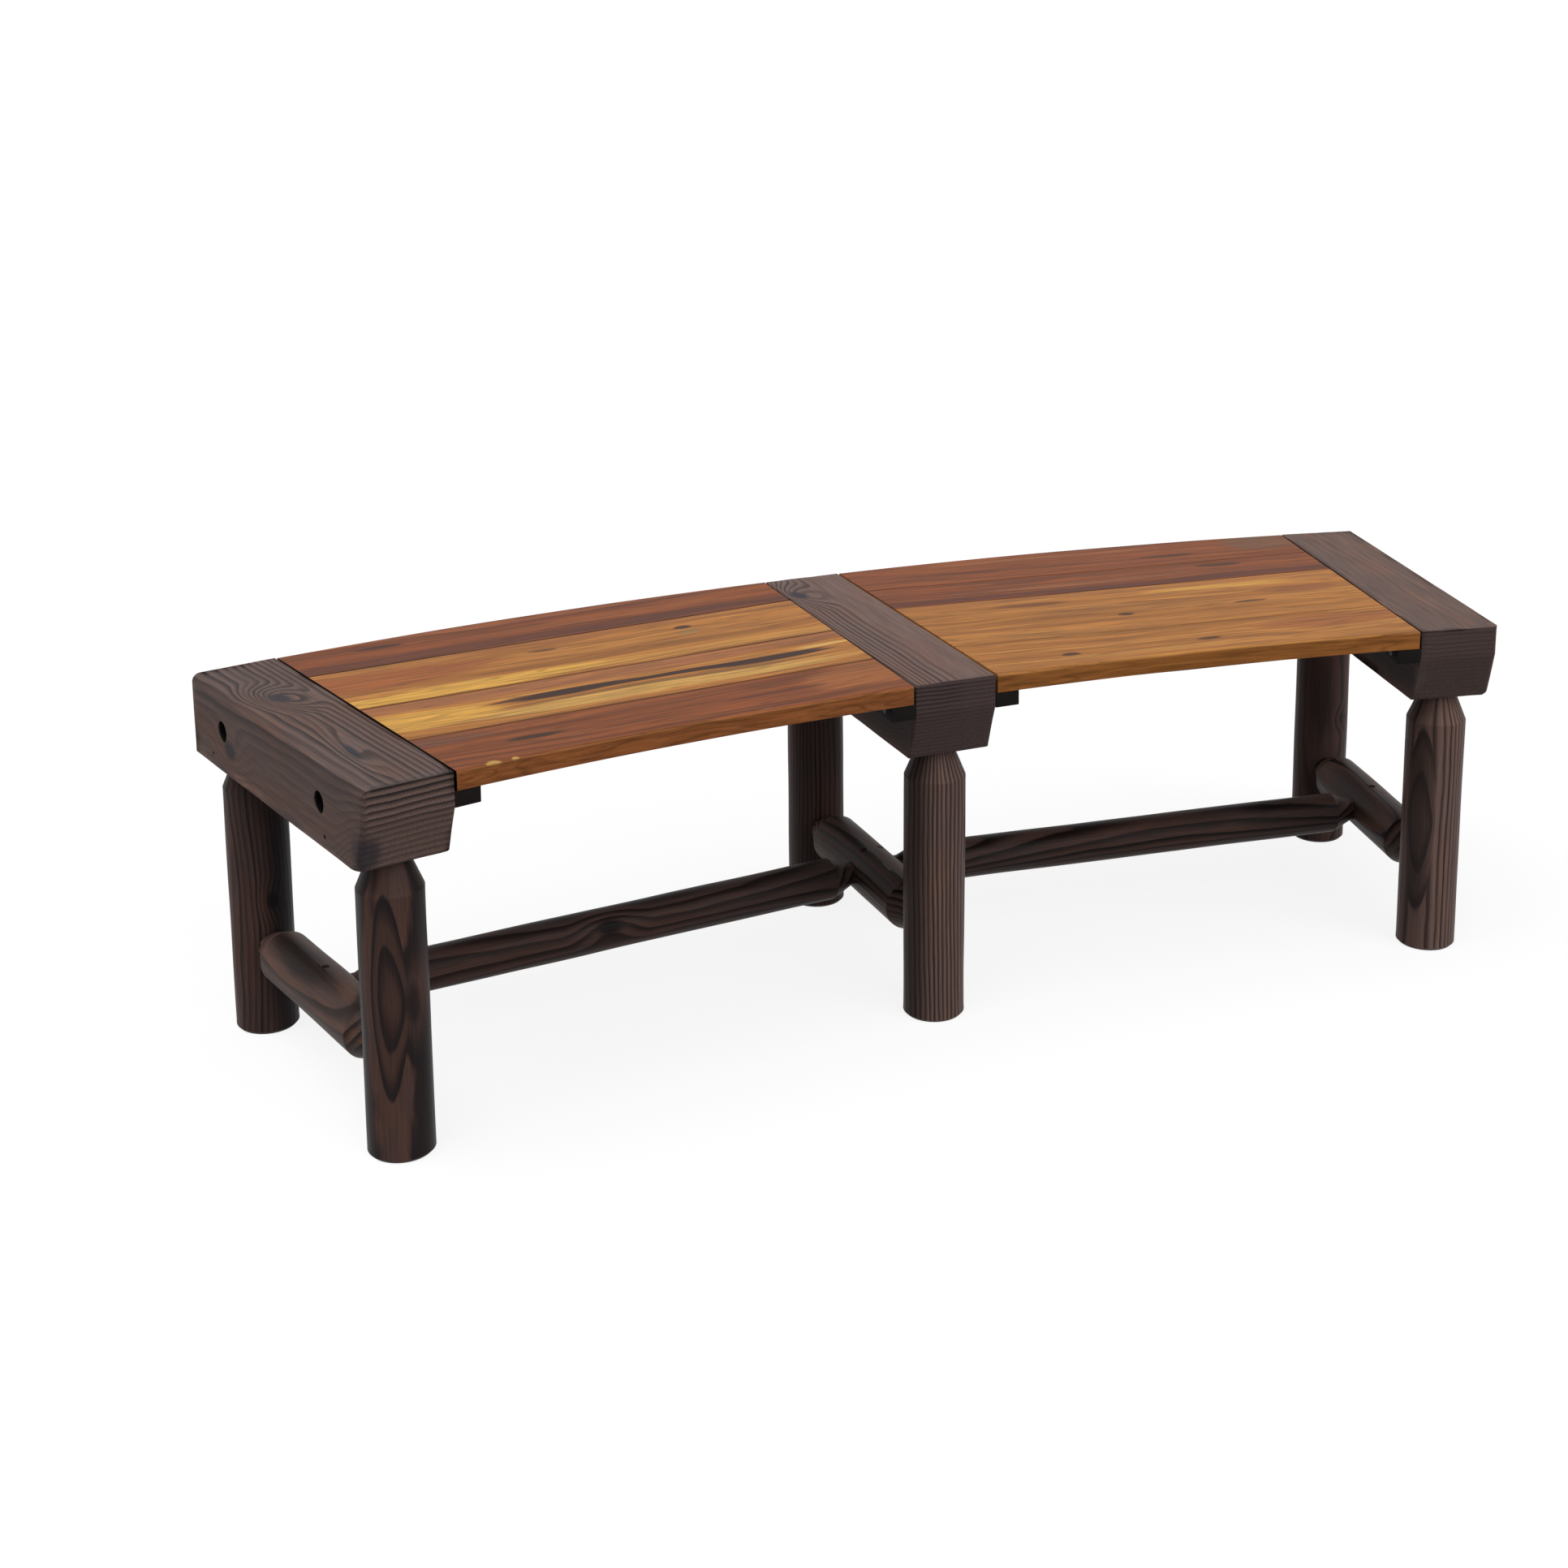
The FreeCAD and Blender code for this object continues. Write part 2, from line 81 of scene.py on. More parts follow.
MM = 0.001
BEAM_NAMES = {"left": "left_end_beam", "middle": "middle_beam", "right": "right_end_beam"}
PANEL_NAMES = ("left", "right")
LEDGERS = {
    "left": ("left_beam_ledger",),
    "middle": ("middle_beam_left_ledger", "middle_beam_right_ledger"),
    "right": ("right_beam_ledger",),
}
STEEL_NODES = (
    "panel_bolts", "panel_bolt_washers", "middle_beam_studs", "barrel_nuts",
    "ledger_screws", "plank_end_screws", "stringer_screws", "rail_lock_screws",
)

for startup_object in list(bpy.data.objects):
    bpy.data.objects.remove(startup_object)
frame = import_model()
CAD_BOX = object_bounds()


# Places that follow from the frame


def middle_of(node):
    low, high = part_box(node)
    return (low + high) / 2


def leg_axis(side, end):
    """The foot of a leg's axis, on the floor."""
    middle = middle_of(side + "_" + end + "_leg")
    return Vector((middle.x, middle.y, 0))


def turn_of(direction):
    """The turn about +Z that lays +Y along a level direction."""
    return math.atan2(direction.y, direction.x) - math.pi / 2


def beam_turn(side):
    return turn_of(leg_axis(side, "rear") - leg_axis(side, "front"))


def panel_turn(panel):
    """The turn halfway between a panel's end beam and the middle beam."""
    return beam_turn(panel) / 2


def rail_middle(side):
    """The middle of a cross rail's axis."""
    middle = (leg_axis(side, "front") + leg_axis(side, "rear")) / 2
    return Vector((middle.x, middle.y, middle_of(side + "_cross_rail").z))


def curve_centre():
    """Where the lines of the three beams meet."""
    front, rear = leg_axis("left", "front"), leg_axis("left", "rear")
    along = (rear - front).normalized()
    return front - along * (front.x / along.x)


# Heights and places in metres
BEAM_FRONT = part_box("middle_beam")[0].y
SEAT_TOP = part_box("middle_beam")[1].z
BEAM_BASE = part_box("middle_beam")[0].z
CENTRE = curve_centre()
INNER_RADIUS = BEAM_FRONT - CENTRE.y

# Sizes of the solids in millimetres
BEAM_HALF_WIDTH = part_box("middle_beam")[1].x / MM
BEAM_HEIGHT = (SEAT_TOP - BEAM_BASE) / MM
FRONT_UPRIGHT = 34.0
FRONT_UNDERCUT = 17.5
PLANK_END_GAP = 2.2
LEG_RADIUS = (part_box("middle_front_leg")[1].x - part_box("middle_front_leg")[0].x) / 2 / MM
NECK_LENGTH = 34.5
NECK_RADIUS = 19.5


def out_from_centre(turn):
    """The front edge's point on the line at that turn, at the height of the seat."""
    outwards = Matrix.Rotation(turn, 3, "Z") @ Vector((0, INNER_RADIUS, 0))
    return Vector((CENTRE.x + outwards.x, CENTRE.y + outwards.y, SEAT_TOP))


def reach_behind(node, turn):
    """How far a plank's nearest and farthest points lie behind the front edge, in millimetres."""
    behind = Matrix.Rotation(turn, 3, "Z").col[1]
    start = out_from_centre(turn)
    reach = [behind.dot(vert.co - start) / MM for vert in frame["nodes"][node].data.vertices]
    return min(reach), max(reach)


# Shader building blocks


def linear(hex_colour):
    """An sRGB hex colour as linear red, green, blue and alpha."""
    channels = [int(hex_colour[place:place + 2], 16) / 255 for place in (1, 3, 5)]
    return [c / 12.92 if c <= 0.04045 else ((c + 0.055) / 1.055) ** 2.4 for c in channels] + [1.0]


def add(tree, kind, inputs, **settings):
    """Adds a node with its settings, sets or links its inputs and returns its first output."""
    made = tree.nodes.new("ShaderNode" + kind)
    for setting, value in settings.items():
        setattr(made, setting, value)
    for key, value in inputs.items():
        if isinstance(key, int):
            socket = made.inputs[key]
        else:
            socket = next(s for s in made.inputs if s.enabled and s.name == key)
        if isinstance(value, bpy.types.NodeSocket):
            tree.links.new(value, socket)
        else:
            socket.default_value = value
    return next((output for output in made.outputs if output.enabled), None)


def new_material(name):
    """An empty material, and a function that puts nodes into it."""
    material = bpy.data.materials.new(name)
    material.use_nodes = True
    material.node_tree.nodes.clear()
    return material, partial(add, material.node_tree)


def span(from_low, from_high, to_low=0.0, to_high=1.0):
    """The two ends of a range of values, and what they are turned into."""
    return {"From Min": from_low, "From Max": from_high, "To Min": to_low, "To Max": to_high}


def local_material(name, origin, rotation):
    """A new material, and object coordinates in a piece's own frame, in millimetres."""
    material, put = new_material(name)
    place = put("TexCoord", {}).node.outputs["Object"]
    coords = put("Mapping", {
        "Vector": place, "Location": origin, "Rotation": rotation, "Scale": (MM, MM, MM),
    }, vector_type="TEXTURE")
    return material, put, coords


SMOOTH = {"interpolation_type": "SMOOTHSTEP"}
RGBA = {"data_type": "RGBA"}
RGBA_MULTIPLY = {**RGBA, "blend_type": "MULTIPLY"}
NOISE_ROUGHNESS = 0.55
# How far a seed of 1 moves a noise along the three axes
SEED_STEPS = (1.0, 0.7, 1.3)


def stretched_noise(put, coords, grain, seed):
    """Noise with long grains: their sizes in millimetres, their detail and a step of the seed."""
    sizes, detail, step = grain
    scaled = put("Mapping", {
        "Vector": coords, "Scale": [1 / size for size in sizes],
        "Location": [(seed + step) * seed_step for seed_step in SEED_STEPS],
    })
    return put("TexNoise", {
        "Vector": scaled, "Scale": 1.0, "Detail": detail, "Roughness": NOISE_ROUGHNESS,
    })


SPOT_CORE = 0.35


def spot(put, coords, place, half_sizes, tilt=0.0, core=SPOT_CORE):
    """1 in the core of an ellipsoid in the local frame, fading to 0 at its rim."""
    inside = put("Mapping", {
        "Vector": coords, "Location": place, "Rotation": (0, 0, math.radians(tilt)),
        "Scale": half_sizes,
    }, vector_type="TEXTURE")
    distance = put("VectorMath", {0: inside}, operation="LENGTH").node.outputs["Value"]
    return put("MapRange", {"Value": distance, **span(core, 1.0, 1.0, 0.0)}, **SMOOTH)


# Shares of a ring's width where its latewood is at its darkest and where it ends
LATEWOOD_FULL = 0.82
LATEWOOD_END = span(0.88, 1.0, 1.0, 0.0)


def growth_rings(put, field, width, early_share, seed):
    """Dark latewood lines every width along a distance field, and a tone for each ring.

    A ring darkens from early_share of its width onwards and ends in a sharp line."""
    count = put("Math", {0: field, 1: 1 / width}, operation="MULTIPLY")
    phase = put("Math", {0: count}, operation="FRACT")
    index = put("Math", {0: count}, operation="FLOOR")
    seeded = put("Math", {0: index, 1: seed}, operation="ADD")
    tone = put("TexWhiteNoise", {"W": seeded}, noise_dimensions="1D").node.outputs["Value"]
    rise = put("MapRange", {"Value": phase, **span(early_share, LATEWOOD_FULL)}, **SMOOTH)
    fall = put("MapRange", {"Value": phase, **LATEWOOD_END}, **SMOOTH)
    line = put("Math", {0: rise, 1: fall}, operation="MULTIPLY")
    return line, tone


def add_knots_and_shades(put, coords, knots, reach, field, shade):
    """Bends the rings round each knot, up to reach times its size, and adds each spot's darkness,
    which is painted shade on the spots that stand for shade.
    """
    for place, half_sizes, lift, darkness, tilt in knots:
        if lift:
            around = [reach * size for size in half_sizes]
            swell = spot(put, coords, place, around, tilt, core=0.0)
            field = put("Math", {0: swell, 1: lift, 2: field}, operation="MULTIPLY_ADD")
        heart = spot(put, coords, place, half_sizes, tilt)
        shade = put("Math", {0: heart, 1: darkness, 2: shade}, operation="MULTIPLY_ADD")
    return field, shade


BUMP_STRENGTH = 0.6
WOOD_IOR = 1.5


def wood_surface(put, colour, height, roughness, relief, gloss):
    """A clear-finished wood shader with its grain standing up by relief."""
    bump = put("Bump", {"Height": height, "Strength": BUMP_STRENGTH, "Distance": relief})
    shader = put("BsdfPrincipled", {
        "Base Color": colour, "Roughness": roughness, "IOR": WOOD_IOR, "Specular IOR Level": gloss,
        "Normal": bump,
    })
    put("OutputMaterial", {"Surface": shader})


# Stained softwood
#
# Each noise below is a grain for stretched_noise. Each range is a span of its values. Real fibres
# are too fine to show, so these are as coarse as they need to be.

CHARRED_GRAIN = {
    "wander": ((110, 170, 60), 2.0, 0),
    "fibre": ((1.6, 70, 1.6), 3.0, 3),
    "patch": ((45, 150, 45), 2.0, 7),
    "warm_range": span(0.4, 0.68),
    "fibre_range": span(0.3, 0.7, 0.72, 1.2),
    "fibre_height": 0.5,
    "roughness_range": span(0.0, 1.0, 0.68, 0.55),
    "relief": 0.5 * MM,
    "gloss": 0.08,
}
LOG_GRAIN = {
    "wander": ((22, 22, 110), 2.0, 0),
    "fibre": ((1.4, 1.4, 60), 3.0, 3),
    "patch": ((30, 30, 130), 2.0, 7),
    "warm_range": span(0.4, 0.65),
    "fibre_range": span(0.3, 0.7, 0.75, 1.18),
    "fibre_height": 0.4,
    "roughness_range": span(0.0, 1.0, 0.52, 0.4),
    "relief": 0.4 * MM,
    "gloss": 0.07,
}


def stained_softwood(put, coords, tints, latewood, shades, colours, grain, seed):
    """Latewood over tinted earlywood, with fibres, dark knots and painted shade in bores and on
    some sides, under a dull stain.
    """
    fibre, patch = [stretched_noise(put, coords, grain[key], seed) for key in ("fibre", "patch")]
    warm = put("MapRange", {"Value": patch, **grain["warm_range"]}, **SMOOTH)
    colour = linear(colours["earlywood"])
    for hue, tint in {"warm": warm, **tints, "latewood": latewood}.items():
        colour = put("Mix", {"Factor": tint, "A": colour, "B": linear(colours[hue])}, **RGBA)
    fibre_shade = put("MapRange", {"Value": fibre, **grain["fibre_range"]})
    colour = put("Mix", {"Factor": 1.0, "A": colour, "B": fibre_shade}, **RGBA_MULTIPLY)
    for hue, shade in shades.items():
        colour = put("Mix", {"Factor": shade, "A": colour, "B": linear(colours[hue])}, **RGBA)
    height = put("Math", {
        0: fibre, 1: grain["fibre_height"], 2: latewood,
    }, operation="MULTIPLY_ADD")
    roughness = put("MapRange", {"Value": latewood, **grain["roughness_range"]})
    wood_surface(put, colour, height, roughness, grain["relief"], grain["gloss"])


# Core of a beam in its own frame, well clear of its outer faces, and the depths over which painted
# shade darkens a bore in it
CORE_MIDDLE = (0, 217, -44)
CORE_HALF_SIZES = (46, 185, 38)
BORE_SHADE_RANGE = span(-0.1, -1.2)


def painted_bore_shade(put, coords):
    """Painted shade deep in a beam's holes: 1 on the walls of a hole deep in a beam, 0 on the
    beam's outer faces.
    """
    from_middle = put("VectorMath", {0: coords, 1: CORE_MIDDLE}, operation="SUBTRACT")
    apart = put("VectorMath", {0: from_middle}, operation="ABSOLUTE")
    beyond = put("VectorMath", {0: apart, 1: CORE_HALF_SIZES}, operation="SUBTRACT")
    split = put("SeparateXYZ", {0: beyond}).node.outputs
    across = put("Math", {0: split["X"], 1: split["Y"]}, operation="MAXIMUM")
    nearest = put("Math", {0: across, 1: split["Z"]}, operation="MAXIMUM")
    return put("MapRange", {"Value": nearest, **BORE_SHADE_RANGE})


# Depths behind a beam's front end over which its level rings take up their tilt
LEVEL_RANGE = span(0.4, 3.0)


def beam_rings(put, coords, place, lie, seed):
    """A distance field whose steps are a beam's rings, and how far they have taken up their tilt.

    The rings lie level on the front end, which slopes back below its upright part."""
    wander = stretched_noise(put, coords, CHARRED_GRAIN["wander"], seed)
    undercut = span(-FRONT_UPRIGHT, -BEAM_HEIGHT, 0.0, FRONT_UNDERCUT)
    sloped = put("MapRange", {"Value": place["Z"], **undercut})
    behind = put("Math", {0: place["Y"], 1: sloped}, operation="SUBTRACT")
    tilt = put("MapRange", {"Value": behind, **LEVEL_RANGE}, **SMOOTH)
    cross = put("Math", {0: place["X"], 1: BEAM_HALF_WIDTH}, operation="ADD")
    bowl = put("Math", {0: cross, 1: cross}, operation="MULTIPLY")
    slope = put("Math", {0: cross, 1: lie.slope}, operation="MULTIPLY")
    curved = put("Math", {0: bowl, 1: lie.curve, 2: slope}, operation="MULTIPLY_ADD")
    leaned = put("Math", {0: place["Y"], 1: lie.lean, 2: curved}, operation="MULTIPLY_ADD")
    eased = put("Math", {0: leaned, 1: tilt}, operation="MULTIPLY")
    spreading = span(0.0, lie.spread_length, 1.0, lie.spread)
    spread = put("MapRange", {"Value": behind, **spreading}, **SMOOTH)
    field = put("Math", {0: place["Z"], 1: spread, 2: eased}, operation="MULTIPLY_ADD")
    field = put("Math", {0: wander, 1: lie.wander, 2: field}, operation="MULTIPLY_ADD")
    field = put("Math", {0: field, 1: lie.offset}, operation="ADD")
    return field, tilt


BEAM_EARLY_SHARE = 0.15
BEAM_KNOT_REACH = 3.2
# Lines are bolder on the front end, and fade down a beam's sides and across a smooth right half.
FRONT_BOLDNESS = 0.4
SMOOTH_RIGHT_RANGE = span(-12.0, 16.0, 1.0, 0.2)
LOW_RANGE = span(-20.0, -50.0, 1.0, 0.45)


def charred_pine(name, origin, turn, beam, seed):
    """Flat-sawn pine, charred, brushed and stained: dark raised latewood lines that run along the
    beam, flatten out at its sawn front end and flow round the knots. Painted shade darkens its
    bores and, on the middle and right beams, the lower left side under the seat."""
    material, put, coords = local_material(name, origin, (0, 0, turn))
    place = put("SeparateXYZ", {0: coords}).node.outputs
    field, tilt = beam_rings(put, coords, place, beam.lie, seed)
    field, knot_and_painted_shade = add_knots_and_shades(put, coords, beam.knots, BEAM_KNOT_REACH, field, 0.0)
    line, tone = growth_rings(put, field, beam.ring, BEAM_EARLY_SHARE, seed)
    strength = put("MapRange", {"Value": tone, **span(0.0, 1.0, *beam.lie.line_strength)})
    if beam.lie.smooth_right:
        rough = put("MapRange", {"Value": place["X"], **SMOOTH_RIGHT_RANGE})
        strength = put("Math", {0: strength, 1: rough}, operation="MULTIPLY")
    on_front = put("Math", {0: 1.0, 1: tilt}, operation="SUBTRACT")
    bold = put("Math", {
        0: on_front, 1: FRONT_BOLDNESS, 2: strength,
    }, operation="MULTIPLY_ADD", use_clamp=True)
    fainter = put("MapRange", {"Value": place["Z"], **LOW_RANGE})
    low = put("Math", {0: bold, 1: fainter}, operation="MULTIPLY")
    latewood = put("Math", {0: line, 1: low}, operation="MULTIPLY")
    # Knot colour with painted shade on some beams' lower left sides, and painted shade deep in the
    # bores
    shades = {"knot": knot_and_painted_shade, "bore_shade": painted_bore_shade(put, coords)}
    stained_softwood(
        put, coords, {"front": on_front}, latewood, shades, beam.colours, CHARRED_GRAIN, seed)
    return material


# The lower this power, the sharper a flame's two points
FLAME_POINTS = 1.4
LOG_KNOT_REACH = 2.6
# Height on a flame at which its shade is full
FLAME_RIM = 0.25


def flame(put, coords, figure):
    """1 at the middle of a pointed flame on a leg's face, falling to 0 at its outline."""
    bearing = math.radians(figure.bearing)
    inside = put("Mapping", {
        "Vector": coords, "Rotation": (0, 0, bearing),
        "Location": (LEG_RADIUS * math.cos(bearing), LEG_RADIUS * math.sin(bearing), figure.height),
        "Scale": (LEG_RADIUS, figure.half_width, figure.half_length),
    }, vector_type="TEXTURE")
    split = put("SeparateXYZ", {0: inside}).node.outputs
    depth = put("Math", {0: split["X"], 1: split["X"]}, operation="MULTIPLY")
    around = put("Math", {0: split["Y"], 1: split["Y"], 2: depth}, operation="MULTIPLY_ADD")
    apart = put("Math", {0: split["Z"]}, operation="ABSOLUTE")
    along = put("Math", {0: apart, 1: FLAME_POINTS}, operation="POWER")
    away = put("Math", {0: around, 1: along}, operation="ADD")
    return put("Math", {0: 1.0, 1: away}, operation="SUBTRACT", use_clamp=True)


def widened_neck(put, coords):
    """Coordinates in which a leg's tapered neck is as wide as the leg, so that its lines run on."""
    height = put("SeparateXYZ", {0: coords}).node.outputs["Z"]
    neck_top = BEAM_BASE / MM
    taper = span(neck_top - NECK_LENGTH, neck_top, LEG_RADIUS, NECK_RADIUS)
    radius = put("MapRange", {"Value": height, **taper})
    wider = put("Math", {0: LEG_RADIUS, 1: radius}, operation="DIVIDE")
    scale = put("CombineXYZ", {"X": wider, "Y": wider, "Z": 1.0})
    return put("VectorMath", {0: coords, 1: scale}, operation="MULTIPLY")


def log_rings(put, coords, pith, seed):
    """The distance from a log's pith, which bends away from the log's own axis."""
    height = put("SeparateXYZ", {0: coords}).node.outputs["Z"]
    wander = stretched_noise(put, coords, LOG_GRAIN["wander"], seed)
    up = put("Math", {0: height, 1: pith.bend_height}, operation="SUBTRACT")
    share = put("Math", {0: up, 1: pith.bend_reach}, operation="DIVIDE")
    square = put("Math", {0: share, 1: share}, operation="MULTIPLY")
    away = put("Math", {0: square, 1: pith.bend, 2: pith.distance}, operation="MULTIPLY_ADD")
    bearing = math.radians(pith.bearing)
    axis = put("VectorMath", {
        0: (math.cos(bearing), math.sin(bearing), 0), "Scale": away,
    }, operation="SCALE")
    offset = put("VectorMath", {0: coords, 1: axis}, operation="SUBTRACT")
    level = put("VectorMath", {0: offset, 1: (1, 1, 0)}, operation="MULTIPLY")
    field = put("VectorMath", {0: level}, operation="LENGTH").node.outputs["Value"]
    field = put("Math", {0: wander, 1: pith.wander, 2: field}, operation="MULTIPLY_ADD")
    return put("Math", {0: field, 1: pith.offset}, operation="ADD")


def stained_log(name, origin, rotation, necked, log, seed):
    """A peeled round of pine, stained dark: the rings come out at the surface as flames, ellipses
    or straight lines, as the pith runs in the log, under a satin finish. Some legs also carry
    painted shade down one side."""
    material, put, coords = local_material(name, origin, rotation)
    if necked:
        coords = widened_neck(put, coords)
    field = log_rings(put, coords, log.pith, seed)
    knot_and_painted_shade = 0.0
    for figure in log.flames:
        hill = flame(put, coords, figure)
        field = put("Math", {0: hill, 1: figure.lift, 2: field}, operation="MULTIPLY_ADD")
        fade_in = span(0.0, FLAME_RIM, 0.0, figure.shade)
        shaded = put("MapRange", {"Value": hill, **fade_in}, **SMOOTH)
        knot_and_painted_shade = put("Math", {0: shaded, 1: knot_and_painted_shade}, operation="ADD")
    field, knot_and_painted_shade = add_knots_and_shades(put, coords, log.knots, LOG_KNOT_REACH, field, knot_and_painted_shade)
    line, tone = growth_rings(put, field, log.ring, log.pith.early_share, seed)
    strength = put("MapRange", {"Value": tone, **span(0.0, 1.0, *log.pith.line_strength)})
    latewood = put("Math", {0: line, 1: strength}, operation="MULTIPLY")
    # Flames and knots, with painted shade down one side of some legs
    shades = {"knot": knot_and_painted_shade} if log.flames or log.knots else {}
    stained_softwood(put, coords, {}, latewood, shades, log.colours, LOG_GRAIN, seed)
    return material


# Oiled boards
#
# Real fibres and pores are too fine to show, so these are as coarse as they need to be.

BOARD_GRAIN = {
    "sway": ((190, 60, 60), 1.0, 5),
    "broad": ((420, 16, 16), 2.0, 0),
    "stripe": ((260, 5, 5), 3.0, 11),
    "fibre": ((90, 4, 4), 4.0, 17),
    "pore": ((22, 1.1, 1.1), 1.0, 23),
    "vein": ((330, 14, 14), 1.0, 29),
    "tear": ((150, 4, 4), 3.0, 31),
}
SWAY_RANGE = span(0.0, 1.0, -9.0, 9.0)
TONE_RANGE = span(0.36, 0.64)
STRIPE_RANGE = span(0.5, 0.72, 0.0, 0.75)
BOARD_FIBRE_RANGE = span(0.3, 0.7, 0.68, 1.28)
BOARD_ROUGHNESS_RANGE = span(0.0, 1.0, 0.36, 0.56)
BOARD_RELIEF = 0.15 * MM
BOARD_GLOSS = 0.05
PORE_SINK = -0.8

# Ends of the painted shadow at a board's end, which faces a beam across a gap, in millimetres from
# the end
END_SHADOW_FADE = (0.2, 0.9)
END_SHADOW = "#0e0806"


def painted_end_shadow(put, place, shade):
    """Painted shadow on a plank's end, which faces the beam beside it across a gap, fading to 0
    just short of it.
    """
    half_turn = abs(panel_turn("left"))
    from_centre = put("Math", {0: place["Y"], 1: INNER_RADIUS / MM}, operation="ADD")
    side_line = put("Math", {0: from_centre, 1: math.sin(half_turn)}, operation="MULTIPLY")
    sideways = put("Math", {0: place["X"]}, operation="ABSOLUTE")
    to_middle = put("Math", {
        0: sideways, 1: -math.cos(half_turn), 2: side_line,
    }, operation="MULTIPLY_ADD")
    full, none = [BEAM_HALF_WIDTH + PLANK_END_GAP + distance for distance in END_SHADOW_FADE]
    return put("MapRange", {"Value": to_middle, **span(full, none, shade, 0.0)})


RAGGEDNESS = 2.2
STREAK_DEPTH = 400
STREAK_CORE = 0.25
STREAK_EDGE = (0.1, 0.7)
STREAK_RIM_RANGE = span(0.0, 0.4)


def streaked(put, coords, colour, streaks, seed):
    """Long streaks of other colours over a board, with torn outlines."""
    tear = stretched_noise(put, coords, BOARD_GRAIN["tear"], seed)
    ragged = put("Math", {0: tear, 1: RAGGEDNESS, 2: -RAGGEDNESS / 2}, operation="MULTIPLY_ADD")
    for middle, half_sizes, hue, strength in streaks:
        mask = spot(put, coords, (*middle, 0), (*half_sizes, STREAK_DEPTH)[:3], core=STREAK_CORE)
        torn = put("Math", {0: mask, 1: ragged}, operation="ADD")
        cut = put("MapRange", {"Value": torn, **span(*STREAK_EDGE, 0.0, strength)}, **SMOOTH)
        near = put("MapRange", {"Value": mask, **STREAK_RIM_RANGE})
        kept = put("Math", {0: cut, 1: near}, operation="MULTIPLY")
        colour = put("Mix", {"Factor": kept, "A": colour, "B": linear(hue)}, **RGBA)
    return colour


# Heights below the seat: the side's own tone, and the two ends of the pale line under the top,
# which is partly wear and partly a painted highlight on the rounded edge
SIDE_RANGE = span(-1.0, -3.0, 0.0, 0.8)
WORN_HIGHLIGHT_TOP_RANGE = span(-0.3, -0.9, 0.0, 0.4)
WORN_HIGHLIGHT_FOOT_RANGE = span(-3.0, -2.0)


def sides_with_worn_highlight(put, place, colour, colours):
    """A board's sides in a tone of their own, with a pale line along their top that is partly wear
    and partly a painted highlight where the rounded edge catches the light.
    """
    side, over, under = [
        put("MapRange", {"Value": place["Z"], **heights})
        for heights in (SIDE_RANGE, WORN_HIGHLIGHT_TOP_RANGE, WORN_HIGHLIGHT_FOOT_RANGE)]
    worn_highlight = put("Math", {0: over, 1: under}, operation="MULTIPLY")
    for factor, hue in ((side, "edge"), (worn_highlight, "worn_highlight")):
        colour = put("Mix", {"Factor": factor, "A": colour, "B": linear(colours[hue])}, **RGBA)
    return colour


# A vein runs along each of so many levels of a noise.
VEIN_LEVELS = 7.0
HALF_LEVEL = 0.5
VEIN_RANGE = span(0.0, 0.16, 0.4, 0.0)
PORE_RANGE = span(0.66, 0.74, 0.0, 0.5)
SEAM_FADE = (0.9, 2.6)


def dark_lines(put, coords, place, seams, seam_shade, seed):
    """Thin veins, open pores and the soiled edges along a board's seams."""
    vein, pore = [
        stretched_noise(put, coords, BOARD_GRAIN[key], seed) for key in ("vein", "pore")]
    level = put("Math", {0: vein, 1: VEIN_LEVELS}, operation="MULTIPLY")
    crest = put("Math", {0: level, 1: HALF_LEVEL}, operation="PINGPONG")
    veined = put("MapRange", {"Value": crest, **VEIN_RANGE})
    open_pore = put("MapRange", {"Value": pore, **PORE_RANGE})
    dark = put("Math", {0: veined, 1: open_pore}, operation="MAXIMUM")
    for seam in seams:
        apart = put("Math", {0: place["Y"], 1: seam}, operation="SUBTRACT")
        gap = put("Math", {0: apart}, operation="ABSOLUTE")
        soiled = put("MapRange", {"Value": gap, **span(*SEAM_FADE, seam_shade, 0.0)})
        dark = put("Math", {0: dark, 1: soiled}, operation="MAXIMUM")
    return dark


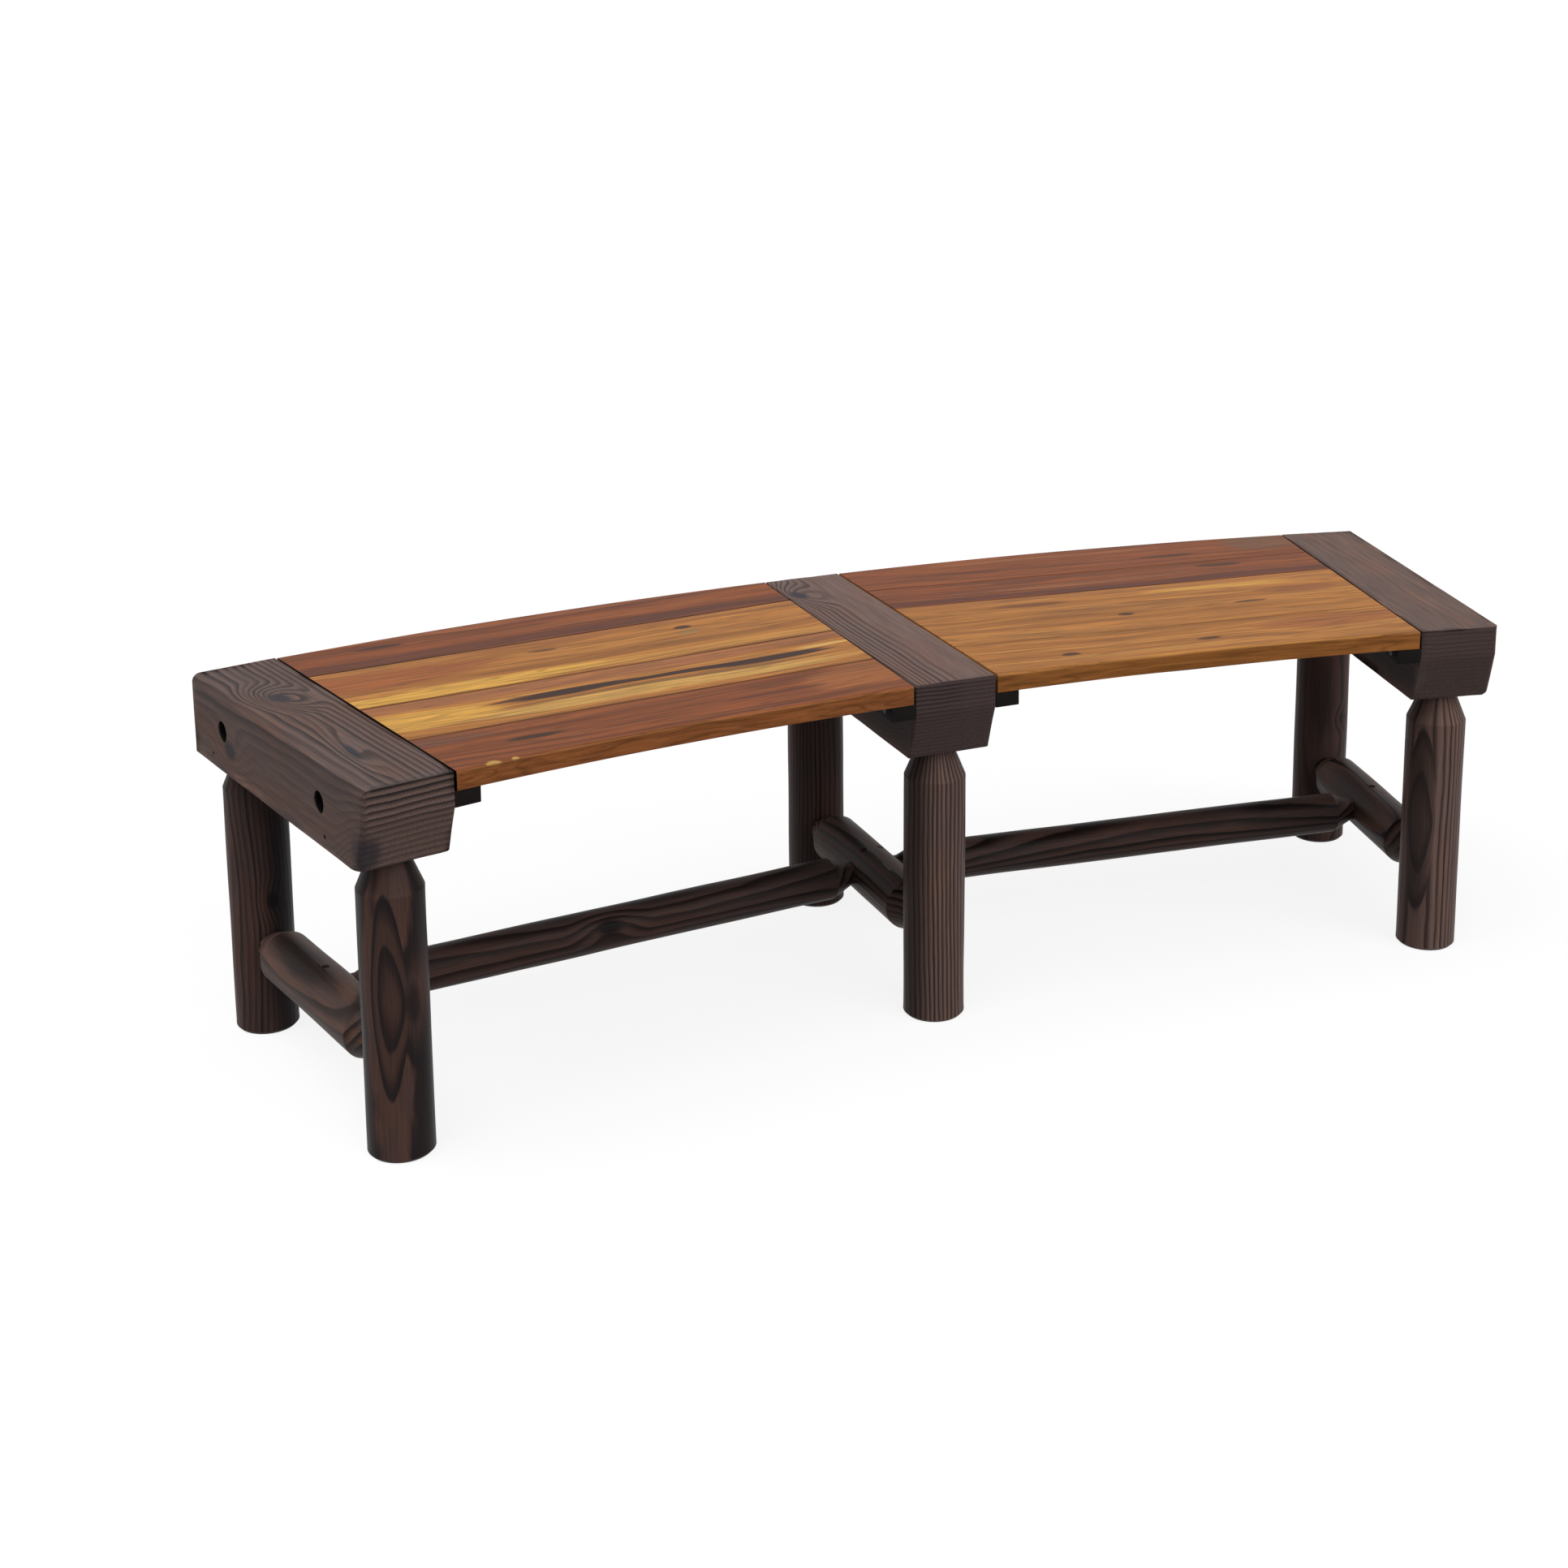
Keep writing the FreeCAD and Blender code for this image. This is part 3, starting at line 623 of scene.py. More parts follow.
def oiled_plank(name, origin, turn, colours, streaks, seams, shades, seed):
    """A board of oiled hardwood: long red, brown and golden stripes, dark heartwood streaks, thin
    dark veins and open pores, darker along its seams, with painted shadow at its ends."""
    material, put, coords = local_material(name, origin, (0, 0, turn))
    place = put("SeparateXYZ", {0: coords}).node.outputs
    sway = stretched_noise(put, coords, BOARD_GRAIN["sway"], seed)
    drift = put("MapRange", {"Value": sway, **SWAY_RANGE})
    shift = put("CombineXYZ", {"Y": drift})
    swayed = put("VectorMath", {0: coords, 1: shift}, operation="ADD")
    broad, stripe, fibre = [
        stretched_noise(put, swayed, BOARD_GRAIN[key], seed)
        for key in ("broad", "stripe", "fibre")]
    toned = put("MapRange", {"Value": broad, **TONE_RANGE}, **SMOOTH)
    lit = put("MapRange", {"Value": stripe, **STRIPE_RANGE}, **SMOOTH)
    colour = linear(colours["dark"])
    for factor, hue in ((toned, "body"), (lit, "pale")):
        colour = put("Mix", {"Factor": factor, "A": colour, "B": linear(colours[hue])}, **RGBA)
    colour = streaked(put, swayed, colour, streaks, seed)
    colour = sides_with_worn_highlight(put, place, colour, colours)
    fibre_shade = put("MapRange", {"Value": fibre, **BOARD_FIBRE_RANGE})
    colour = put("Mix", {"Factor": 1.0, "A": colour, "B": fibre_shade}, **RGBA_MULTIPLY)
    dark = dark_lines(put, swayed, place, seams, shades["seam"], seed)
    colour = put("Mix", {"Factor": dark, "A": colour, "B": linear(colours["pore"])}, **RGBA)
    # Painted shadow at the ends that face a beam across a gap
    if shades["end"]:
        end_shadow_mask = painted_end_shadow(put, place, shades["end"])
        colour = put("Mix", {"Factor": end_shadow_mask, "A": colour, "B": linear(END_SHADOW)}, **RGBA)
    height = put("Math", {0: dark, 1: PORE_SINK, 2: fibre}, operation="MULTIPLY_ADD")
    roughness = put("MapRange", {"Value": fibre, **BOARD_ROUGHNESS_RANGE})
    wood_surface(put, colour, height, roughness, BOARD_RELIEF, BOARD_GLOSS)
    return material


# Battens and steel

# Grain and saw marks of a batten that runs along its own X or Y axis
SAWN_GRAIN = {
    "X": (((60, 1.5, 1.5), 3.0, 0), ((3.5, 400, 400), 1.0, 3)),
    "Y": (((1.5, 60, 1.5), 3.0, 0), ((400, 3.5, 400), 1.0, 3)),
}
SAW_MARKS = 0.35
SAWN_RANGE = span(0.45, 0.9)
SAWN_ROUGHNESS_RANGE = span(0.0, 1.0, 0.6, 0.75)
SAWN_RELIEF = 0.4 * MM
SAWN_GLOSS = 0.08


def sawn_batten(name, origin, turn, axis, colours, seed):
    """A rough sawn softwood batten under a near-black stain: fine grain and faint saw marks."""
    material, put, coords = local_material(name, origin, (0, 0, turn))
    grain, saw = [stretched_noise(put, coords, pattern, seed) for pattern in SAWN_GRAIN[axis]]
    mixed = put("Math", {0: saw, 1: SAW_MARKS, 2: grain}, operation="MULTIPLY_ADD")
    factor = put("MapRange", {"Value": mixed, **SAWN_RANGE})
    colour = put("Mix", {
        "Factor": factor, "A": linear(colours["latewood"]), "B": linear(colours["earlywood"]),
    }, **RGBA)
    roughness = put("MapRange", {"Value": grain, **SAWN_ROUGHNESS_RANGE})
    wood_surface(put, colour, mixed, roughness, SAWN_RELIEF, SAWN_GLOSS)
    return material


# Coarser than a real one, which is too fine to show
OXIDE_MOTTLE = ((2.5, 2.5, 2.5), 3.0, 0)
OXIDE_COLOURS = {"dark": "#262628", "light": "#3a3a3b"}
OXIDE_RANGE = span(0.3, 0.7)
OXIDE_ROUGHNESS_RANGE = span(0.0, 1.0, 0.42, 0.6)


def black_oxide(name):
    """Black oxide on steel: near-black metal with a faint mottle and dull reflections."""
    material, put, coords = local_material(name, (0, 0, 0), (0, 0, 0))
    mottle = stretched_noise(put, coords, OXIDE_MOTTLE, 0.0)
    factor = put("MapRange", {"Value": mottle, **OXIDE_RANGE})
    colour = put("Mix", {
        "Factor": factor, "A": linear(OXIDE_COLOURS["dark"]), "B": linear(OXIDE_COLOURS["light"]),
    }, **RGBA)
    roughness = put("MapRange", {"Value": mottle, **OXIDE_ROUGHNESS_RANGE})
    shader = put("BsdfPrincipled", {"Base Color": colour, "Metallic": 1.0, "Roughness": roughness})
    put("OutputMaterial", {"Surface": shader})
    return material


# Figure of each piece, and the painted shade on some, read from the photograph
#
# Places and sizes are in millimetres in a piece's own frame, bearings and tilts in degrees.

# A spot of darker colour, which lifts the rings around it: mostly a knot or dark patch of wood, and
# where marked, painted shade with no lift
Knot = namedtuple("Knot", "place half_sizes lift darkness tilt", defaults=(0,))
# A hill of rings on a leg's face
Flame = namedtuple("Flame", "bearing height half_width half_length lift shade")
# A log's pith lies at distance and bearing from its axis, and farther by bend at bend_reach above
# and below bend_height. Its rings wander, start at offset and darken from early_share of a width.
Pith = namedtuple("Pith", (
    "distance", "bearing", "bend", "bend_height", "bend_reach", "wander", "offset", "early_share",
    "line_strength"))
Log = namedtuple("Log", "colours ring pith flames knots", defaults=((), ()))
# A beam's rings step down across it by slope and curve and along it by lean, and lie spread times
# as close from spread_length on. line_strength is that of the faintest and of the boldest lines.
Lie = namedtuple("Lie", (
    "slope", "curve", "lean", "wander", "spread", "spread_length", "offset", "line_strength",
    "smooth_right"))
Beam = namedtuple("Beam", "colours ring lie knots")

# Colours of knots, of the painted shade low on a beam's side, and of the painted shade deep in a
# bore
KNOT_AND_SHADE_COLOURS = {"knot": "#2c2d35", "bore_shade": "#0c0a0a"}
LEFT_BEAM = {
    "earlywood": "#675651", "warm": "#6c544c", "latewood": "#292223", "front": "#76615a", **KNOT_AND_SHADE_COLOURS}
MIDDLE_BEAM = {
    "earlywood": "#735e58", "warm": "#765c53", "latewood": "#322829", "front": "#534443", **KNOT_AND_SHADE_COLOURS}
RIGHT_BEAM = {
    "earlywood": "#67554f", "warm": "#7a5d51", "latewood": "#443734", "front": "#534441", **KNOT_AND_SHADE_COLOURS}
# Painted shade along the lower left side of a beam, under the seat
PAINTED_SHADE_UNDER_SEAT = Knot((-50, 150, -60), (6, 400, 34), 0, 0.85)
BEAM_FIGURES = {
    "left": Beam(LEFT_BEAM, 7.0, Lie(0.42, 0.0035, 0.02, 9, 0.55, 70, 1, (0.5, 1.0), False), (
        Knot((-2, 303, 0), (13, 24, 40), 38, 0.85, 14),
        Knot((-8, 108, 0), (6, 34, 30), 12, 0.9, -4),
        Knot((-47, 335, -58), (30, 22, 14), 16, 0.85),
        Knot((-40, 14, -68), (20, 26, 30), 0, 0.75),
    )),
    "middle": Beam(MIDDLE_BEAM, 4.6, Lie(0.9, -0.0048, 0.01, 6, 0.8, 60, 0, (0.55, 1.0), True), (
        Knot((-32, 366, 0), (12, 24, 36), 18, 0.85, 10),
        PAINTED_SHADE_UNDER_SEAT,
    )),
    "right": Beam(RIGHT_BEAM, 5.2, Lie(0.5, 0.0, 0.012, 7, 0.8, 60, 0, (0.05, 0.5), False), (
        PAINTED_SHADE_UNDER_SEAT,
    )),
}

# A log's knot colour also serves its flames and the painted shade down some legs
BROWN_LOG = {"earlywood": "#4d3c38", "warm": "#573f38", "latewood": "#1b181a", "knot": "#181619"}
LINED_LOG = {"earlywood": "#765f59", "warm": "#7b6056", "latewood": "#271f1e", "knot": "#211c1b"}
LEG_FIGURES = {
    "left_front": Log(BROWN_LOG, 9.0, Pith(6, 68, -0.5, 172, 110, 5, 3.9, 0.2, (0.8, 1.0)), (
        Flame(-113, 174, 19, 113, -16.5, 0.3),
    ), (
        Knot((11, -32, 166), (12, 12, 30), -6, 0.75),
        Knot((24, -24, 120), (16, 20, 70), 0, 0.4),
    )),
    "middle_front": Log(LINED_LOG, 4.8, Pith(130, -25, 3, 250, 250, 4, 0, 0.15, (0.8, 1.0)), (), (
        # Painted shade down the leg's left side
        Knot((-34, -4, 170), (34, 36, 600), 0, 0.7),
    )),
    "right_front": Log(LINED_LOG, 4.5, Pith(90, 30, 1, 160, 200, 3, 1.6, 0.35, (0.75, 1.0)), (
        Flame(-150, 161, 19, 124, -9, 0.4),
    ), (
        # Painted shade down the leg's left side, over the darker wood round the flame
        Knot((-34, -8, 160), (30, 34, 600), 0, 0.4),
    )),
    "left_rear": Log(BROWN_LOG, 5.5, Pith(60, -20, -5, 120, 140, 7, 0, 0.2, (0.5, 1.0)), (), (
        Knot((6, -33, 155), (9, 14, 14), -8, 0.6),
        # Painted shade down the leg's right side, next to the beam and the rail
        Knot((26, -23, 200), (34, 34, 700), 0, 0.85),
    )),
    "middle_rear": Log(BROWN_LOG, 5.0, Pith(80, 160, 5, 180, 150, 6, 0, 0.2, (0.4, 1.0))),
    "right_rear": Log(BROWN_LOG, 6.0, Pith(45, 60, -6, 200, 150, 7, 0, 0.2, (0.4, 1.0)), (), (
        Knot((10, -31, 170), (8, 12, 10), -8, 0.6),
    )),
}

CROSS_RAIL = {"earlywood": "#574540", "warm": "#664c42", "latewood": "#141010"}
LONG_RAIL = {"earlywood": "#493a37", "warm": "#4f3a34", "latewood": "#0e0a0a", "knot": "#0a0808"}
RAIL_RING = 6.0
# Wander, offset, early share and line strength of every rail's rings
RAIL_LINES = (4, 0, 0.15, (0.75, 1.0))
RAIL_FIGURES = {
    "left_cross": Log(CROSS_RAIL, RAIL_RING, Pith(22, 70, -6, 40, 140, *RAIL_LINES)),
    "middle_cross": Log(CROSS_RAIL, RAIL_RING, Pith(30, 110, 5, -30, 140, *RAIL_LINES)),
    "right_cross": Log(CROSS_RAIL, RAIL_RING, Pith(26, 40, -5, 0, 140, *RAIL_LINES)),
    "left_long": Log(LONG_RAIL, RAIL_RING, Pith(14, 60, -5, 20, 200, *RAIL_LINES), (), (
        Knot((20, -12, -15), (12, 12, 22), -9, 0.9),
    )),
    "right_long": Log(LONG_RAIL, RAIL_RING, Pith(17, 80, 6, -60, 200, *RAIL_LINES)),
}

BATTEN_COLOURS = {"earlywood": "#1d1817", "latewood": "#0f0c0c"}

# Colours of a board; its pale line along the top of the sides is partly wear and partly a painted
# highlight
RED = {
    "dark": "#6c3a20", "body": "#854827", "pale": "#965832",
    "pore": "#38200f", "edge": "#955c35", "worn_highlight": "#b98454",
}
ORANGE = {
    "dark": "#935e2d", "body": "#ae7238", "pale": "#c48a47",
    "pore": "#53331a", "edge": "#915b2f", "worn_highlight": "#b98350",
}
HEART = "#36231c"
PURPLE = "#552f24"
YELLOW = "#d3a04a"
CREAM = "#d9ae62"

# Each streak: its middle along the panel and behind its front edge, its half sizes the same two
# ways (and in depth, where it isn't deep), its colour and its strength
PLANK_FIGURES = {
    "left_plank_1": (RED, (
        ((-240, 78), (90, 16), "#64463a", 0.6), ((235, 50), (110, 55), "#a3673a", 0.55),
        ((-152, 46), (46, 8), HEART, 0.9), ((118, 46), (80, 7), PURPLE, 0.75),
        ((0, 12), (600, 4), "#55301f", 0.6), ((-214, -9), (11, 9, 4), CREAM, 0.8),
        ((-191, -9), (7, 9, 4), CREAM, 0.75),
    )),
    "left_plank_2": (ORANGE, (
        ((0, 191), (700, 21), "#9a6240", 0.85), ((-225, 146), (110, 40), YELLOW, 0.85),
        ((40, 122), (330, 24), "#c79d57", 0.75), ((-60, 158), (135, 12), HEART, 1.0),
        ((50, 156), (240, 8), HEART, 1.0), ((180, 153), (105, 10), HEART, 1.0),
        ((245, 165), (60, 8), CREAM, 0.7), ((70, 139), (250, 5), "#7b5833", 0.9),
    )),
    "left_plank_3": (ORANGE, (
        ((-230, 292), (200, 50), "#94532f", 0.8), ((-150, 227), (290, 22), YELLOW, 0.95),
        ((170, 222), (320, 15), "#c48e48", 0.6), ((-38, 300), (24, 5), HEART, 0.75),
        ((134, 301), (16, 8), HEART, 0.9), ((132, 282), (20, 12), "#8a744c", 0.6),
        ((60, 328), (330, 10), "#8f5836", 0.6),
    )),
    "left_plank_4": (RED, (
        ((0, 352), (900, 20), PURPLE, 0.8), ((-192, 402), (40, 8), HEART, 0.85),
        ((0, 424), (330, 9), "#93593a", 0.5), ((60, 388), (260, 14), "#91552f", 0.5),
    )),
    "right_plank_1": (ORANGE, (
        ((190, 64), (150, 32), "#94562f", 0.7), ((-152, 34), (16, 8), HEART, 0.9),
        ((18, 39), (24, 7), HEART, 0.85), ((-60, 20), (220, 9), "#bf8a48", 0.5),
    )),
    "right_plank_2": (ORANGE, (
        ((-122, 222), (70, 12), "#744428", 0.85), ((118, 228), (140, 14), YELLOW, 0.6),
        ((205, 194), (80, 17), "#855030", 0.65), ((-34, 154), (14, 7), HEART, 0.9),
        ((126, 158), (30, 6), HEART, 0.8), ((0, 246), (600, 8), "#9a643a", 0.5),
    )),
    "right_plank_3": (RED, (
        ((0, 267), (900, 15), PURPLE, 0.85), ((160, 316), (42, 10), HEART, 0.8),
        ((-95, 318), (80, 8), PURPLE, 0.65), ((-40, 292), (230, 9), "#95603f", 0.5),
    )),
    "right_plank_4": (RED, (
        ((115, 372), (55, 7), HEART, 0.75), ((-150, 374), (60, 7), PURPLE, 0.6),
        ((255, 395), (70, 50), "#69513f", 0.6), ((-60, 412), (260, 9), "#96603f", 0.5),
    )),
}
# How dark each panel's seams are, and how strong the painted shadow at its plank ends
PANEL_SEAMS_AND_SHADOWS = {"left": {"seam": 0.85, "end": 1.0}, "right": {"seam": 0.4, "end": 0.0}}


# Shapes

# How each kind of piece is worked: the spacing of its grid and the size of its hollows along its
# own directions in millimetres, and the angle in degrees from which an edge stays crisp
UNCUT = 400
WORKING = {
    "beam": {"spacings": (12, 15, 12), "hollows": (22, 60, 22), "crisp_angle": 35},
    "leg": {"spacings": (UNCUT, UNCUT, 8), "hollows": (30, 30, 90), "crisp_angle": 8},
    "rail": {"spacings": (UNCUT, 8, UNCUT), "hollows": (30, 90, 30), "crisp_angle": 8},
    "plank": {"spacings": (24, 12, UNCUT), "hollows": (120, 30, 30), "crisp_angle": 35},
    "batten": {"spacings": (30, 30, UNCUT), "hollows": (20, 20, 20), "crisp_angle": 35},
}
MERGE_DISTANCE = 0.01 * MM
CUT_DISTANCE = 0.001 * MM
FLAT_ANGLE = math.radians(0.4)
SHARP_ANGLE = math.radians(40)
# An edge is eased if it is this many times as long as the easing is wide.
EASED_LENGTH = 12
EASING_SEGMENTS = 2
# Noise above the negative of this value sinks into a hollow.
HOLLOW_SHARE = 0.35
# Height above the floor below which a foot keeps its exact size
FOOT_HEIGHT = 6 * MM


def ease_edges(bm, radius):
    """Rounds the long sharp edges."""
    long_and_sharp = [
        edge for edge in bm.edges
        if len(edge.link_faces) == 2 and edge.calc_length() > EASED_LENGTH * radius
        and edge.calc_face_angle() > SHARP_ANGLE
    ]
    if radius and long_and_sharp:
        bmesh.ops.bevel(
            bm, geom=long_and_sharp, offset=radius, offset_type="OFFSET", segments=EASING_SEGMENTS,
            profile=0.5, affect="EDGES", clamp_overlap=True, material=-1)


def cut_grid(bm, directions, spacings):
    """Cuts the faces into a grid along the three directions."""
    for direction, spacing in zip(directions.col, spacings):
        normal = direction.copy()
        reach = [normal.dot(vert.co) for vert in bm.verts]
        cuts = int((max(reach) - min(reach)) / (spacing * MM))
        for cut in range(1, cuts + 1):
            everything = bm.verts[:] + bm.edges[:] + bm.faces[:]
            place = normal * (min(reach) + cut * (spacing * MM))
            bmesh.ops.bisect_plane(
                bm, geom=everything, dist=CUT_DISTANCE, plane_co=place, plane_no=normal)


def sink_hollows(bm, directions, sizes, depth, seed):
    """Sinks the points by up to depth in hollows of those sizes along the three directions."""
    bm.normal_update()
    for vert in bm.verts:
        local = directions.transposed() @ vert.co
        sample = Vector([local[axis] / (sizes[axis] * MM) + seed for axis in range(3)])
        hollow = max(0.0, noise.noise(sample) + HOLLOW_SHARE)
        clear_of_floor = min(1.0, max(0.0, vert.co.z / FOOT_HEIGHT))
        vert.co -= vert.normal * (depth * hollow * clear_of_floor)


def finish_piece(kind, node, name, turn, edge_radius, unevenness, seed, material):
    """Puts a copy of a node's solid, with eased edges and a worked surface, in the node's place."""
    working = WORKING[kind]
    directions = Matrix.Rotation(turn, 3, "Z")
    mesh = bpy.data.meshes.new(name)
    bm = bmesh.new()
    bm.from_mesh(frame["nodes"][node].data)
    bmesh.ops.remove_doubles(bm, verts=bm.verts, dist=MERGE_DISTANCE)
    bmesh.ops.dissolve_limit(bm, angle_limit=FLAT_ANGLE, verts=bm.verts, edges=bm.edges)
    ease_edges(bm, edge_radius)
    for edge in bm.edges:
        if len(edge.link_faces) == 2:
            edge.smooth = edge.calc_face_angle() < math.radians(working["crisp_angle"])
    cut_grid(bm, directions, working["spacings"])
    sink_hollows(bm, directions, working["hollows"], unevenness, seed)
    bm.to_mesh(mesh)
    bm.free()
    if "custom_normal" in mesh.attributes:
        mesh.attributes.remove(mesh.attributes["custom_normal"])
    mesh.polygons.foreach_set("use_smooth", [True] * len(mesh.polygons))
    mesh.materials.append(material)
    piece = bpy.data.objects.new(name, mesh)
    bpy.context.scene.collection.objects.link(piece)
    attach(piece, "root")
    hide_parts(node)


# Settings


def length(name, description, millimetres):
    """A setting for a length, which starts at so many millimetres."""
    return bpy.props.FloatProperty(
        name=name, description=description, default=millimetres * MM, min=0.0, unit="LENGTH")


class BenchFinish(bpy.types.PropertyGroup):
    """Sizes of the worked wood surfaces."""

    beam_edge: length("Beam edges", "Easing of the sawn edges of a beam", 1.2)
    beam_unevenness: length("Beam hollows", "Depth of the brushed hollows on a beam", 0.5)
    log_unevenness: length("Log hollows", "Depth of the peeled hollows on a leg or rail", 0.7)
    plank_unevenness: length("Plank hollows", "Depth of the planed hollows on a plank", 0.2)
    batten_edge: length("Batten edges", "Easing of the sawn edges of a batten", 0.8)
    batten_unevenness: length("Batten hollows", "Depth of the sawn hollows on a batten", 0.3)


class BenchStage(bpy.types.PropertyGroup):
    """The floor, the light and the camera."""

    floor_size: bpy.props.FloatProperty(
        name="Floor size", description="Side of the square floor", default=40.0, unit="LENGTH")
    floor_colour: bpy.props.FloatVectorProperty(
        name="Floor colour", description="Colour of the paper floor", subtype="COLOR",
        size=4, default=(0.16, 0.16, 0.16, 1.0))
    fill: bpy.props.FloatProperty(
        name="Fill", description="Strength of the even light from all round", default=0.3)
    key_strength: bpy.props.FloatProperty(
        name="Key light", description="Strength of the soft light from the upper left",
        default=1.74)
    front_strength: bpy.props.FloatProperty(
        name="Front light", description="Strength of the soft light from the front right",
        default=1.2)
    lens: bpy.props.FloatProperty(
        name="Lens", description="Focal length of the camera in millimetres", default=55.75)


# Floor, light and camera

FLOOR_DROP = 0.2 * MM
PAPER_LIFT = 0.86
WHITE = (1, 1, 1, 1)


def lay_floor(scene, size, colour):
    mesh = bpy.data.meshes.new("paper_floor")
    bm = bmesh.new()
    bmesh.ops.create_grid(bm, x_segments=1, y_segments=1, size=size / 2)
    bm.to_mesh(mesh)
    bm.free()
    floor = bpy.data.objects.new("paper_floor", mesh)
    floor.location.z = CAD_BOX[0].z - FLOOR_DROP
    scene.collection.objects.link(floor)
    mesh.materials.append(white_paper(colour))


def seen_rays(put):
    """1 for rays that come straight or mirrored to the camera, 0 for those that light the scene."""
    path = put("LightPath", {}).node.outputs
    seen = put("Math", {
        0: path["Is Camera Ray"], 1: path["Is Transmission Ray"],
    }, operation="MAXIMUM")
    return put("Math", {0: seen, 1: path["Is Glossy Ray"]}, operation="MAXIMUM")


def white_paper(colour):
    """Matt paper that the camera and reflections see lifted to white, with the shadow kept."""
    material, put = new_material("white_paper")
    paper = put("BsdfDiffuse", {"Color": colour})
    lift = put("Math", {0: seen_rays(put), 1: PAPER_LIFT}, operation="MULTIPLY")
    glow = put("Emission", {"Color": WHITE, "Strength": lift})
    surface = put("AddShader", {0: paper, 1: glow})
    put("OutputMaterial", {"Surface": surface})
    return material


def light_world(scene, fill):
    """An even fill that the camera and reflections see as a white background."""
    world = bpy.data.worlds.new("studio")
    scene.world = world
    world.use_nodes = True
    tree = world.node_tree
    tree.nodes.clear()
    put = partial(add, tree)
    dim = put("Background", {"Color": WHITE, "Strength": fill})
    white = put("Background", {"Color": WHITE, "Strength": 1.0})
    surface = put("MixShader", {0: seen_rays(put), 1: dim, 2: white})
    put("OutputWorld", {"Surface": surface})


# Both lights are as wide as large soft boxes.
KEY_DIRECTION = Vector((-0.38, -0.05, 0.92))
FRONT_DIRECTION = Vector((0.25, -0.8, 0.545))
LIGHT_SPREAD = math.radians(50)
LIGHT_DISTANCE = 3.0


def hang_lamp(scene, name, direction, strength):
    lamp = bpy.data.lights.new(name, "SUN")
    lamp.angle = LIGHT_SPREAD
    lamp.energy = strength
    holder = bpy.data.objects.new(name, lamp)
    holder.location = direction * LIGHT_DISTANCE
    holder.rotation_euler = (-direction).to_track_quat("-Z", "Y").to_euler()
    scene.collection.objects.link(holder)


# The photograph's view: where the camera stands, where it points and how its frame is shifted
CAMERA_PLACE = Vector((-1.0711, -2.3921, 1.2129))
CAMERA_BEARING = math.radians(-23.288)
CAMERA_DIP = math.radians(12.445)
CAMERA_ROLL = math.radians(-0.147)
CAMERA_SHIFT = (-0.0435, -0.2253)
SENSOR_WIDTH = 36.0


def aim_camera(scene, lens):
    camera = bpy.data.cameras.new("camera")
    camera.sensor_width = SENSOR_WIDTH
    camera.lens = lens
    camera.shift_x, camera.shift_y = CAMERA_SHIFT
    viewer = bpy.data.objects.new("camera", camera)
    viewer.matrix_world = (
        Matrix.Translation(CAMERA_PLACE)
        @ Matrix.Rotation(CAMERA_BEARING, 4, "Z")
        @ Matrix.Rotation(math.pi / 2 - CAMERA_DIP, 4, "X")
        @ Matrix.Rotation(CAMERA_ROLL, 4, "Z"))
    scene.collection.objects.link(viewer)
    scene.camera = viewer


# Operators

# First seed and step from piece to piece, for the grain and for the hollows
SEEDS = {
    "beam": ((0.0, 10.0), (0.0, 5.0)),
    "leg": ((20.0, 10.0), (0.0, 3.0)),
    "rail": ((90.0, 10.0), (40.0, 3.0)),
    "plank": ((30.0, 7.0), (70.0, 3.0)),
    "batten": ((0.0, 9.0), (0.0, 2.0)),
}
FIRST_PLANK = "1"
LAST_PLANK = "4"


def seeds_of(kind, number):
    """The seeds of a piece's grain and of its hollows."""
    return [first + step * number for first, step in SEEDS[kind]]


def make_log(kind, number, place, origin, rotation, turn, figure, unevenness):
    """Makes a leg or a rail, whose own Z axis runs along it from the origin."""
    grain_seed, hollow_seed = seeds_of(kind, number)
    node = place + "_" + kind
    material = stained_log(
        "stained_round_" + node, origin, rotation, kind == "leg", figure, grain_seed)
    finish_piece(
        kind, node, node + "_log", turn, 0.0, unevenness, hollow_seed, material)


class BENCH_OT_beams(bpy.types.Operator):
    """Makes the three charred cross beams"""

    bl_idname = "bench.beams"
    bl_label = "Cross beams"

    def execute(self, context):
        finish = context.scene.bench_finish
        for number, (side, node) in enumerate(BEAM_NAMES.items()):
            grain_seed, hollow_seed = seeds_of("beam", number)
            turn = beam_turn(side)
            material = charred_pine(
                "charred_pine_" + side, out_from_centre(turn), turn, BEAM_FIGURES[side], grain_seed)
            finish_piece(
                "beam", node, side + "_beam_timber", turn, finish.beam_edge, finish.beam_unevenness,
                hollow_seed, material)
        return {"FINISHED"}


class BENCH_OT_legs(bpy.types.Operator):
    """Makes the six peeled round legs"""

    bl_idname = "bench.legs"
    bl_label = "Legs"

    def execute(self, context):
        finish = context.scene.bench_finish
        for number, (place, figure) in enumerate(LEG_FIGURES.items()):
            side, end = place.split("_")
            make_log(
                "leg", number, place, leg_axis(side, end), (0, 0, 0), beam_turn(side), figure,
                finish.log_unevenness)
        return {"FINISHED"}


class BENCH_OT_rails(bpy.types.Operator):
    """Makes the three cross rails and the two long rails"""

    bl_idname = "bench.rails"
    bl_label = "Rails"

    def execute(self, context):
        finish = context.scene.bench_finish
        lines = {side + "_cross": (rail_middle(side), beam_turn(side)) for side in BEAM_NAMES}
        for panel in PANEL_NAMES:
            start, end = rail_middle(panel), rail_middle("middle")
            lines[panel + "_long"] = ((start + end) / 2, turn_of(end - start))
        for number, (place, (middle, turn)) in enumerate(lines.items()):
            make_log(
                "rail", number, place, middle, (-math.pi / 2, 0, turn), turn, RAIL_FIGURES[place],
                finish.log_unevenness)
        return {"FINISHED"}


